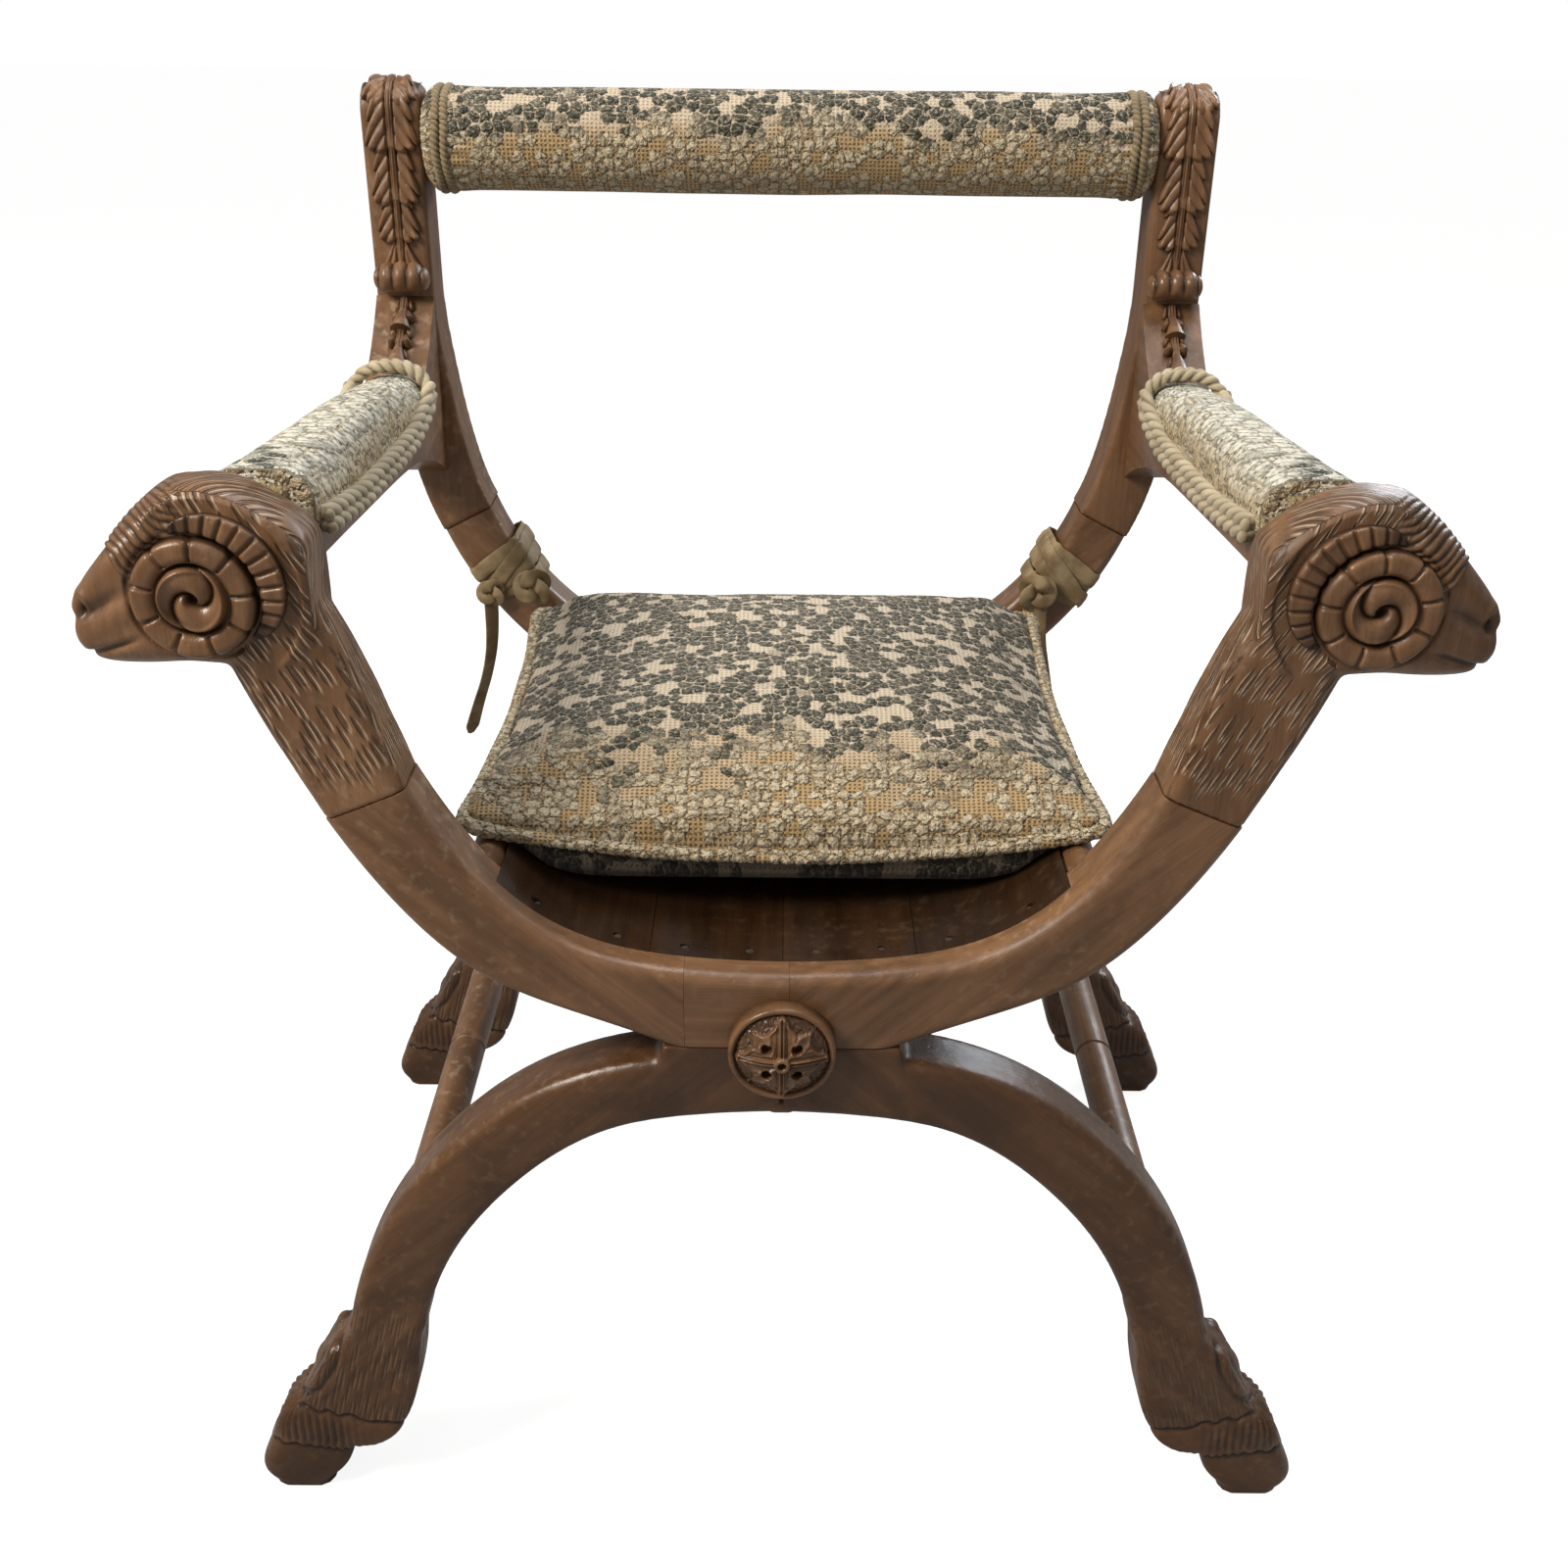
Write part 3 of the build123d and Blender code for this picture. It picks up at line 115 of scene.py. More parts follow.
def grain_noise(points: Array, seed: int = 0) -> Array:
    """Smooth noise from -1 to 1.

    Args:
        points: rows of three coordinates, in cells.
        seed: which noise.

    Returns:
        One value for each row.
    """
    cell = np.floor(points)
    inside = points - cell
    inside = inside * inside * (3.0 - 2.0 * inside)
    cell = cell.astype(np.int64)
    total = np.zeros(len(points))
    for corner in range(8):
        step = np.array([corner & 1, corner >> 1 & 1, corner >> 2 & 1])
        at = cell + step
        key = (at[:, 0] * 73856093) ^ (at[:, 1] * 19349663) ^ (at[:, 2] * 83492791) ^ (seed * 2654435761)
        key = (key * 1103515245 + 12345) & 0x7FFFFFFF
        key = (key ^ (key >> 13)) * 1274126177 & 0x7FFFFFFF
        weight = np.prod(np.where(step == 1, inside, 1.0 - inside), axis=1)
        total += weight * (key / 0x3FFFFFFF - 1.0)
    return total


def from_segment(x: Array, z: Array, start: Sequence[float], end: Sequence[float]) -> tuple[Array, Array]:
    """Measures places against a straight line.

    Args:
        x: places across the chair.
        z: their heights.
        start: where the line starts.
        end: where it ends.

    Returns:
        Distance from the line, and the share of the way along it.
    """
    run = np.array([end[0] - start[0], end[1] - start[1]])
    share = ((x - start[0]) * run[0] + (z - start[1]) * run[1]) / (run @ run)
    held = np.clip(share, 0.0, 1.0)
    return np.hypot(x - start[0] - held * run[0], z - start[1] - held * run[1]), held


def strokes(across: Array, down: Array, pitch: float, length: float, seed: int = 0) -> Array:
    """Short gouge cuts in staggered rows.

    Args:
        across: place across the cuts, in millimetres.
        down: place along the cuts.
        pitch: distance between rows.
        length: of one cut and its gap.
        seed: which pattern.

    Returns:
        1 in a cut's middle, 0 outside.
    """
    bend = grain_noise(rows(across / (4.0 * pitch), down / (1.4 * length), 0.0 * across), seed)
    row = across / pitch + 0.42 * bend
    number = np.floor(row)
    shift = np.modf(np.abs(np.sin(number * 12.9898 + seed)) * 4375.85)[0]
    share = down / length + shift
    share = share - np.floor(share) - 0.5
    return ridge(row - number - 0.5, 0.22) * smooth(0.5, 0.2, np.abs(share))


class Route:
    """Line through points in millimetres, measured along its length."""

    def __init__(self, points: Array, closed: bool = False) -> None:
        """Measures the line; a closed one runs back to its start."""
        self.points = np.vstack([points, points[:1]]) if closed else points
        self.closed = closed
        lengths = np.linalg.norm(np.diff(self.points, axis=0), axis=1)
        self.steps = np.concatenate(([0.0], np.cumsum(lengths)))
        self.reach = self.steps[-1]

    def at(self, along: Array) -> Array:
        """Places at distances along the line."""
        return rows(*(np.interp(along, self.steps, self.points[:, axis]) for axis in range(3)))

    def ahead(self, along: Array, span: float) -> Array:
        """Finds which way the line runs.

        Args:
            along: distances along the line.
            span: how far to either side the line is looked at.

        Returns:
            One direction for each distance.
        """
        before, after = along - span, along + span
        if self.closed:
            before, after = before % self.reach, after % self.reach
        run = self.at(after) - self.at(before)
        return run / np.maximum(np.linalg.norm(run, axis=1), 1e-9)[:, None]


def beside(middle: Array, ahead: Array, lean: Array, wide: Array, high: Array) -> Array:
    """Moves places off a line, as seen along it.

    Args:
        middle: places on the line.
        ahead: the line's direction at each place.
        lean: a direction that is roughly upwards.
        wide: how far each place moves sideways.
        high: how far it moves up.

    Returns:
        The moved places.
    """
    side = np.cross(ahead, lean)
    side /= np.linalg.norm(side, axis=1)[:, None]
    return middle + side * wide[:, None] + np.cross(side, ahead) * high[:, None]


# ---------------------------------------------------------------- meshes
def deselect() -> None:
    """Selects nothing."""
    for thing in bpy.context.selected_objects:
        thing.select_set(False)


def activate(piece: Piece) -> None:
    """Selects one piece alone and makes it the active one."""
    deselect()
    piece.select_set(True)
    bpy.context.view_layer.objects.active = piece


def corners(piece: Piece) -> Array:
    """The mesh's points in millimetres, one row each."""
    flat = np.empty(len(piece.data.vertices) * 3, np.float32)
    piece.data.vertices.foreach_get("co", flat)
    return flat.reshape(-1, 3).astype(float) * 1000.0


def normals(piece: Piece) -> Array:
    """The mesh's outward directions at its points."""
    flat = np.empty(len(piece.data.vertices) * 3, np.float32)
    piece.data.vertex_normals.foreach_get("vector", flat)
    return flat.reshape(-1, 3).astype(float)


def move_corners(piece: Piece, points: Array) -> None:
    """Puts the mesh's points at places given in millimetres."""
    piece.data.vertices.foreach_set("co", (points / 1000.0).astype(np.float32).ravel())
    piece.data.update()


def store(piece: Piece, name: str, values: Array) -> None:
    """Keeps one number for each point of the mesh, for its material."""
    layer = piece.data.attributes.get(name) or piece.data.attributes.new(name, "FLOAT", "POINT")
    layer.data.foreach_set("value", np.asarray(values, np.float32))


@contextmanager
def all_faces(piece: Piece) -> Iterator[None]:
    """Edit mode with the whole mesh of one piece selected."""
    activate(piece)
    bpy.ops.object.mode_set(mode="EDIT")
    bpy.ops.mesh.select_all(action="SELECT")
    yield
    bpy.ops.object.mode_set(mode="OBJECT")


def close_up(piece: Piece) -> None:
    """Joins the mesh's seams and poles, and turns its faces outwards."""
    with all_faces(piece):
        bpy.ops.mesh.remove_doubles(threshold=2e-6)
        bpy.ops.mesh.normals_make_consistent(inside=False)
    bpy.ops.object.shade_smooth()


def wrapped(name: str, across: int, along: int, shape: Shape) -> Piece:
    """Grid primitive that is wrapped into a closed surface.

    Args:
        name: the piece's name.
        across: faces across the grid.
        along: faces along the grid.
        shape: gives places in millimetres for the grid's two shares, each from 0 to 1.

    Returns:
        The new piece.
    """
    deselect()
    bpy.ops.mesh.primitive_grid_add(x_subdivisions=across, y_subdivisions=along, size=1.0)
    piece = bpy.context.active_object
    piece.name = piece.data.name = name
    flat = corners(piece) / 1000.0
    u, v = np.clip(flat[:, 0] + 0.5, 0.0, 1.0), np.clip(flat[:, 1] + 0.5, 0.0, 1.0)
    move_corners(piece, shape(u, v))
    close_up(piece)
    return piece


def finished(piece: Piece, kind: str, **settings: object) -> None:
    """Adds a modifier with its settings and applies it."""
    activate(piece)
    modifier = piece.modifiers.new(kind.lower(), kind)
    for key, value in settings.items():
        setattr(modifier, key, value)
    bpy.ops.object.modifier_apply(modifier=modifier.name)


def evened(piece: Piece, voxel: float) -> None:
    """Meshes a piece again with even faces of a size in millimetres."""
    finished(piece, "REMESH", mode="VOXEL", voxel_size=voxel / 1000.0, use_smooth_shade=True)


def copied(piece: Piece, name: str) -> Piece:
    """New piece with its own copy of a mesh."""
    other = bpy.data.objects.new(name, piece.data.copy())
    other.data.name = name
    bpy.context.scene.collection.objects.link(other)
    return other


def copy_of_node(node: Piece, name: str) -> Piece:
    """New piece with a merged copy of a frame node's mesh."""
    piece = copied(node, name)
    close_up(piece)
    return piece


def fine_copy(node: Piece, name: str, voxel: float, rounds: int) -> Piece:
    """Evenly meshed copy of a node, ready to be carved.

    Args:
        node: the frame's node.
        name: the new piece's name.
        voxel: size of the even faces, in millimetres.
        rounds: how often the surface is eased.

    Returns:
        The new piece.
    """
    piece = copy_of_node(node, name)
    evened(piece, voxel)
    finished(piece, "SMOOTH", factor=0.5, iterations=rounds)
    finished(piece, "SUBSURF", levels=1, render_levels=1)
    return piece


def twin(piece: Piece, name: str, mirror: bool = False, step_y: float = 0.0) -> Piece:
    """Copies a piece to another place.

    Args:
        piece: what is copied.
        name: the copy's name.
        mirror: whether it is mirrored about X = 0.
        step_y: how far back it stands, in millimetres.

    Returns:
        The copy, with its own mesh.
    """
    other = copied(piece, name)
    points = corners(other)
    if mirror:
        points[:, 0] *= -1.0
    points[:, 1] += step_y
    move_corners(other, points)
    if mirror:
        with all_faces(other):
            bpy.ops.mesh.flip_normals()
    return other


def carve(piece: Piece, cut: Callable[[Array, Array], tuple[Array, Array]]) -> None:
    """Shapes the surface and marks it for the finish.

    Args:
        piece: what is carved.
        cut: gives, from places and outward directions, how far each place moves out in millimetres and how
            dark it lies in a recess.
    """
    points, out = corners(piece), normals(piece)
    move, recess = cut(points, out)
    move_corners(piece, points + out * move[:, None])
    store(piece, "recess", np.clip(recess, 0.0, 1.0))


def store_plane(piece: Piece, name: str, flat: Array) -> None:
    """Keeps two coordinates for each point of the mesh, for its material."""
    layer = piece.data.attributes.new(name, "FLOAT_VECTOR", "POINT")
    layer.data.foreach_set("vector", np.column_stack([flat, 0.0 * flat[:, :1]]).astype(np.float32).ravel())


def store_cloth(piece: Piece, cloth: Array, nap: Array) -> None:
    """Keeps the cloth's own coordinates, given in millimetres, and the painted shading of its pile, from its
    pale, lit look at 0 to its dark, shaded look at 1.
    """
    store_plane(piece, "cloth", cloth / 1000.0)
    store(piece, "nap", np.clip(nap, 0.0, 1.0))


def store_hair(piece: Piece, share: Array, across: Array, down: Array) -> None:
    """Keeps where hair is gouged into the wood, and the way its strokes run, counted in strokes."""
    store_plane(piece, "comb", rows(across, down))
    store(piece, "hair", np.clip(share, 0.0, 1.0))


def joined(parts: Sequence[Piece], name: str) -> Piece:
    """Makes one piece of several.

    Args:
        parts: the pieces, which become one.
        name: its name.

    Returns:
        The joined piece.
    """
    deselect()
    for part in parts:
        part.select_set(True)
    bpy.context.view_layer.objects.active = parts[0]
    bpy.ops.object.join()
    parts[0].name = parts[0].data.name = name
    return parts[0]


# ---------------------------------------------------------------- finishes
class Tree:
    """Node tree of one material, with short ways to add its nodes."""

    def __init__(self, name: str) -> None:
        """Starts an empty Principled material."""
        self.material = bpy.data.materials.new(name)
        self.material.use_nodes = True
        self.links = self.material.node_tree.links
        self.nodes = self.material.node_tree.nodes
        self.shader = self.nodes["Principled BSDF"]
        self.place = self.add("ShaderNodeTexCoord").outputs["Object"]

    def add(self, kind: str, inputs: dict | None = None, **settings: object) -> bpy.types.Node:
        """Adds a node.

        Args:
            kind: Blender's name for it.
            inputs: a value, or a socket to link, for each input.
            settings: its other settings.

        Returns:
            The node.
        """
        node = self.nodes.new(kind)
        for key, value in settings.items():
            setattr(node, key, value)
        for key, value in (inputs or {}).items():
            if isinstance(value, bpy.types.NodeSocket):
                self.links.new(value, node.inputs[key])
            else:
                node.inputs[key].default_value = value
        return node

    def math(self, operation: str, first: object, second: object = 0.0) -> object:
        """One sum of two numbers."""
        return self.add("ShaderNodeMath", {0: first, 1: second}, operation=operation).outputs[0]

    def mix(self, share: object, first: object, second: object, blend: str = "MIX") -> object:
        """Blend of two colours."""
        inputs = {0: share, 6: opaque(first), 7: opaque(second)}
        return self.add("ShaderNodeMix", inputs, data_type="RGBA", blend_type=blend).outputs[2]

    def noise(self, vector: object, scale: float, detail: float = 2.0, twist: float = 0.0) -> object:
        """Soft noise from 0 to 1."""
        inputs = {"Vector": vector, "Scale": scale, "Detail": detail, "Distortion": twist}
        return self.add("ShaderNodeTexNoise", inputs).outputs[0]

    def cells(self, vector: object, scale: float) -> object:
        """Distance from the middle of scattered cells."""
        return self.add("ShaderNodeTexVoronoi", {"Vector": vector, "Scale": scale}).outputs["Distance"]

    def step(self, value: object, low: float, high: float, start: float = 0.0, end: float = 1.0) -> object:
        """Eased step from start to end while the value goes from low to high."""
        inputs = {"Value": value, "From Min": low, "From Max": high, "To Min": start, "To Max": end}
        return self.add("ShaderNodeMapRange", inputs, interpolation_type="SMOOTHSTEP").outputs[0]

    def turned(self, vector: object, rotation: Sequence[float]) -> object:
        """The coordinates turned about the origin."""
        inputs = {"Vector": vector, "Rotation": tuple(rotation)}
        return self.add("ShaderNodeMapping", inputs).outputs[0]

    def stretched(self, vector: object, scale: Sequence[float]) -> object:
        """The coordinates scaled along each axis."""
        return self.add("ShaderNodeMapping", {"Vector": vector, "Scale": tuple(scale)}).outputs[0]

    def upward(self) -> object:
        """How far the surface faces up, from -1 to 1."""
        facing = self.add("ShaderNodeNewGeometry").outputs["Normal"]
        return self.add("ShaderNodeSeparateXYZ", {0: facing}).outputs["Z"]

    def kept(self, name: str) -> object:
        """Number that the mesh keeps for each point."""
        return self.add("ShaderNodeAttribute", attribute_name=name).outputs["Fac"]

    def bump(self, height: object, distance: float, strength: float = 1.0, under: object = None) -> object:
        """Lays relief on the surface.

        Args:
            height: the relief, from 0 to 1.
            distance: how high 1 stands, in metres.
            strength: share of the relief that shows.
            under: another relief, which this one lies over.

        Returns:
            The new normal.
        """
        inputs = {"Height": height, "Distance": distance, "Strength": strength}
        if under is not None:
            inputs["Normal"] = under
        return self.add("ShaderNodeBump", inputs).outputs[0]

    def dress(
        self, colour: object, roughness: object, normal: object, **constants: float
    ) -> bpy.types.Material:
        """Connects the shader.

        Args:
            colour: base colour, as a value or a socket.
            roughness: the same for roughness.
            normal: the relief.
            constants: sockets that keep one value, with _ for the spaces in their names.

        Returns:
            The finished material.
        """
        for socket, value in (("Base Color", colour), ("Roughness", roughness), ("Normal", normal)):
            if isinstance(value, bpy.types.NodeSocket):
                self.links.new(value, self.shader.inputs[socket])
            else:
                self.shader.inputs[socket].default_value = value
        for key, value in constants.items():
            self.shader.inputs[key.replace("_", " ")].default_value = value
        return self.material


def opaque(colour: object) -> object:
    """A colour with its alpha, or a socket as it is."""
    return colour if isinstance(colour, bpy.types.NodeSocket) else (*colour, 1.0)


class Grain(Enum):
    """Which way the wood's fibres run, as turns of the coordinates about X, Y and Z in degrees."""

    LEVEL = (0.0, 0.0, 0.0)
    DEEP = (0.0, 0.0, -90.0)
    UPRIGHT = (0.0, 90.0, 0.0)
    RISING_RIGHT = (0.0, 42.0, 0.0)
    RISING_LEFT = (0.0, 138.0, 0.0)


@dataclass(frozen=True)
class AgedWood:
    """Walnut with a worn satin finish and traces of lime in its pores and cuts."""

    grain: Grain
    dark: Colour = (0.078, 0.038, 0.016)
    middle: Colour = (0.178, 0.088, 0.040)
    light: Colour = (0.305, 0.163, 0.078)
    limed: Colour = (0.490, 0.350, 0.230)
    recess: Colour = (0.020, 0.009, 0.004)
    shade: float = 1.0

    def hair(self, tree: Tree) -> tuple[object, object]:
        """Gouged hair strokes, where the mesh keeps a "hair" share.

        Args:
            tree: where the nodes go.

        Returns:
            Share of the cuts, and share of the lime beside them.
        """
        comb = tree.add("ShaderNodeAttribute", attribute_name="comb").outputs["Vector"]
        inputs = {0: comb, 1: (0.30, 0.06, 0.0)}
        shifted = tree.add("ShaderNodeVectorMath", inputs, operation="ADD").outputs[0]
        strokes_at = []
        for vector in (comb, shifted):
            cell = tree.add("ShaderNodeTexVoronoi", {"Vector": vector, "Scale": 1.0, "Randomness": 0.75})
            cell.voronoi_dimensions = "2D"
            strokes_at.append(cell.outputs["Distance"])
        share = tree.kept("hair")
        cuts = tree.math("MULTIPLY", tree.step(strokes_at[0], 0.36, 0.16), share)
        flecks = tree.math("MULTIPLY", tree.step(strokes_at[1], 0.34, 0.14), share)
        return cuts, tree.math("MULTIPLY", flecks, tree.math("SUBTRACT", 1.0, cuts))

    def material(self) -> bpy.types.Material:
        """Builds the finish, or returns it if it is there."""
        name = f"wood_{self.grain.name.lower()}_{round(self.shade * 100)}"
        if name in bpy.data.materials:
            return bpy.data.materials[name]
        tree = Tree(name)
        fibres = tree.turned(tree.place, [math.radians(turn) for turn in self.grain.value])
        streaks = tree.noise(tree.stretched(fibres, (6.0, 110.0, 110.0)), 1.0, 5.0, 0.25)
        bands = tree.noise(tree.stretched(fibres, (2.4, 30.0, 30.0)), 1.0, 3.0, 0.6)
        fine = tree.noise(tree.stretched(fibres, (30.0, 900.0, 900.0)), 1.0, 3.0)
        clouds = tree.noise(tree.place, 7.0, 4.0)
        specks = tree.noise(tree.place, 130.0, 4.0)
        tone = tree.math("ADD", tree.math("MULTIPLY", streaks, 0.40), tree.math("MULTIPLY", bands, 0.35))
        tone = tree.math("ADD", tone, tree.math("MULTIPLY", clouds, 0.25))
        colour = tree.mix(tree.step(tone, 0.28, 0.54), self.dark, self.middle)
        colour = tree.mix(tree.step(tone, 0.46, 0.76), colour, self.light)
        colour = tree.mix(tree.step(fine, 0.50, 0.72, 0.0, 0.35), colour, self.dark)
        stains = tree.noise(tree.stretched(fibres, (11.0, 19.0, 19.0)), 1.0, 6.0, 0.5)
        colour = tree.mix(tree.step(stains, 0.50, 0.70, 0.0, 0.62), colour, self.dark)
        dust = tree.step(tree.upward(), -0.7, 1.0, 0.10, 0.55)
        wash = tree.math("MULTIPLY", tree.step(specks, 0.50, 0.74), dust)
        wash = tree.math("MULTIPLY", wash, tree.step(clouds, 0.40, 0.62, 0.12, 0.90))
        colour = tree.mix(wash, colour, self.limed)
        cuts, flecks = self.hair(tree)
        colour = tree.mix(tree.math("MULTIPLY", cuts, 0.42), colour, self.recess)
        flecks = tree.math("MULTIPLY", flecks, tree.step(specks, 0.28, 0.52, 0.35, 0.95))
        colour = tree.mix(flecks, colour, self.limed)
        colour = tree.mix(tree.step(tree.kept("recess"), 0.05, 1.0, 0.0, 0.92), colour, self.recess)
        if self.shade != 1.0:
            colour = tree.mix(1.0, colour, (self.shade, self.shade * 0.87, self.shade * 0.70), "MULTIPLY")
        relief = tree.bump(streaks, 0.0010, 0.35)
        relief = tree.bump(fine, 0.0004, 0.40, relief)
        relief = tree.bump(tree.noise(tree.place, 22.0, 3.0), 0.005, 0.45, relief)
        dents = tree.step(tree.cells(tree.place, 75.0), 0.0, 0.14)
        relief = tree.bump(dents, 0.0007, 0.35, relief)
        relief = tree.bump(tree.math("MULTIPLY", cuts, -1.0), 0.0016, 0.9, relief)
        roughness = tree.step(stains, 0.35, 0.62, 0.27, 0.50)
        return tree.dress(
            colour, roughness, relief, Coat_Weight=0.14, Coat_Roughness=0.28, Specular_IOR_Level=0.38
        )


@dataclass(frozen=True)
class CutVelvet:
    """Velvet whose pile makes clusters of small leaves on a gridded woven ground.

    The mesh keeps the cloth's own coordinates as "cloth", a painted shading that turns the pile from its
    pale, lit look to its dark, shaded look and the ground from gold to pale, and a painted shade for the
    underside of the cushion's front.
    """

    name: str = "cut_velvet"
    # pale_pile and dark_pile, and ground and pale_ground, are the lit and shaded looks of the cloth that its
    # painted shading picks between
    pale_pile: Colour = (0.640, 0.540, 0.370)
    dark_pile: Colour = (0.046, 0.052, 0.038)
    ground: Colour = (0.460, 0.305, 0.140)
    pale_ground: Colour = (0.620, 0.520, 0.390)
    # dark brown of the canvas holes and of dark tufts, and the painted shadow at the edges of pale leaves
    outline: Colour = (0.070, 0.045, 0.022)
    # painted shade for the underside of the cushion's front
    soiled: Colour = (0.022, 0.016, 0.010)
    # painted shade on the sides of the arm pads
    tan: Colour = (0.560, 0.410, 0.205)
    leaf: float = 122.0
    cluster: float = 62.0
    coverage: float = 0.412
    # share of that painted side shade
    flank: float = 0.0
    depth: float = 0.0046
    mesh: float = 0.0030

    def leaves(self, tree: Tree, cloth: object) -> tuple[object, object, object]:
        """Clusters of lobed leaves.

        Args:
            tree: where the nodes go.
            cloth: the cloth's own coordinates.

        Returns:
            Share of the pile, its height and a random number for each leaf.
        """
        swirl = tree.add("ShaderNodeTexNoise", {"Vector": cloth, "Scale": 210.0, "Detail": 3.0}).outputs[1]
        inputs = {0: swirl, 1: (0.5, 0.5, 0.5)}
        centred = tree.add("ShaderNodeVectorMath", inputs, operation="SUBTRACT").outputs[0]
        inputs = {0: centred, 1: (0.0075, 0.0075, 0.0), 2: cloth}
        bent = tree.add("ShaderNodeVectorMath", inputs, operation="MULTIPLY_ADD")
        inputs = {"Vector": bent.outputs[0], "Scale": self.leaf, "Randomness": 0.9}
        cell = tree.add("ShaderNodeTexVoronoi", inputs, voronoi_dimensions="2D")
        edge = tree.add("ShaderNodeTexVoronoi", inputs, voronoi_dimensions="2D", feature="DISTANCE_TO_EDGE")
        inputs = {"Vector": cloth, "Scale": self.leaf * 2.7}
        lobes = tree.add("ShaderNodeTexVoronoi", inputs, voronoi_dimensions="2D")
        random = tree.add("ShaderNodeSeparateXYZ", {0: cell.outputs["Color"]}).outputs[0]
        member = tree.noise(cell.outputs["Position"], self.cluster, 1.0)
        member = tree.math("ADD", member, tree.math("MULTIPLY", tree.kept("full"), 0.11))
        inside = tree.step(member, self.coverage - 0.006, self.coverage + 0.006)
        lobed = tree.math("MULTIPLY", lobes.outputs["Distance"], 0.30)
        reach = tree.math("ADD", cell.outputs["Distance"], lobed)
        creases = tree.step(edge.outputs["Distance"], 0.02, 0.085, 0.12)
        shape = tree.math("MULTIPLY", tree.step(reach, 0.86, 0.70), creases)
        pile = tree.math("MULTIPLY", inside, shape)
        dome = tree.step(reach, 0.85, 0.10)
        height = tree.math("MULTIPLY", pile, tree.math("ADD", 0.35, tree.math("MULTIPLY", dome, 0.65)))
        return pile, height, random

    def weave(self, tree: Tree, cloth: object) -> object:
        """Holes of the open canvas ground."""
        place = tree.add("ShaderNodeSeparateXYZ", {0: cloth})
        ribs = []
        for axis in (0, 1):
            wave = tree.math("SINE", tree.math("MULTIPLY", place.outputs[axis], 2.0 * math.pi / self.mesh))
            ribs.append(tree.step(wave, -0.45, 0.45))
        return tree.math("MULTIPLY", *ribs)

    def material(self) -> bpy.types.Material:
        """Builds the finish, or returns it if it is there."""
        if self.name in bpy.data.materials:
            return bpy.data.materials[self.name]
        tree = Tree(self.name)
        cloth = tree.add("ShaderNodeAttribute", attribute_name="cloth").outputs["Vector"]
        nap = tree.kept("nap")
        pile, height, random = self.leaves(tree, cloth)
        holes = self.weave(tree, cloth)
        fluff = tree.noise(tree.place, 700.0, 3.0)
        # painted shading of the pile, from its pale, lit look to its dark, shaded look, with a random tone
        # for each leaf
        leaf_shading = tree.math("ADD", nap, tree.math("MULTIPLY", tree.math("SUBTRACT", random, 0.5), 0.62))
        pile_colour = tree.mix(tree.step(leaf_shading, 0.15, 0.80), self.pale_pile, self.dark_pile)
        tufts = tree.noise(cloth, 420.0, 4.0, 0.6)
        # painted highlight on the raised tops of the pile, broken up by tufts
        paler = tree.math("MULTIPLY", tree.step(tufts, 0.46, 0.70), tree.step(height, 0.5, 0.9, 0.3, 0.75))
        pile_colour = tree.mix(tree.math("MULTIPLY", paler, 0.80), pile_colour, self.pale_ground)
        pile_colour = tree.mix(tree.step(tufts, 0.50, 0.30, 0.0, 0.55), pile_colour, self.outline)
        # painted rims at the leaf edges: a broken highlight on leaves that look dark, a shadow elsewhere
        lit = tree.math("MULTIPLY", tree.step(nap, 0.35, 0.75), tree.step(tufts, 0.42, 0.60))
        rim = tree.mix(lit, self.outline, self.pale_ground)
        pile_colour = tree.mix(tree.step(height, 0.56, 0.34, 0.0, 0.62), pile_colour, rim)
        if self.flank:
            # painted shade: where the surface turns from facing up to facing sideways the pile goes tan
            low = tree.step(tree.upward(), 0.80, 0.05, 0.0, self.flank)
            pile_colour = tree.mix(low, pile_colour, self.tan)
        # painted shading: the ground looks pale where the pile looks dark
        ground = tree.mix(nap, self.ground, self.pale_ground)
        open_share = tree.math("MULTIPLY", holes, tree.step(nap, 0.2, 0.8, 0.80, 0.42))
        ground = tree.mix(open_share, ground, self.outline)
        colour = tree.mix(pile, ground, pile_colour)
        # painted shade under the cushion's front welt
        colour = tree.mix(tree.math("MULTIPLY", tree.kept("soil"), 0.80), colour, self.soiled)
        relief = tree.bump(tree.math("ADD", height, tree.math("MULTIPLY", tufts, 0.4)), self.depth, 1.0)
        relief = tree.bump(tree.math("MULTIPLY", holes, -1.0), 0.0006, 0.6, relief)
        relief = tree.bump(fluff, 0.0007, 0.6, relief)
        roughness = tree.step(pile, 0.0, 1.0, 0.72, 0.9)
        return tree.dress(
            colour, roughness, relief, Sheen_Weight=0.12, Sheen_Roughness=0.4, Specular_IOR_Level=0.18
        )


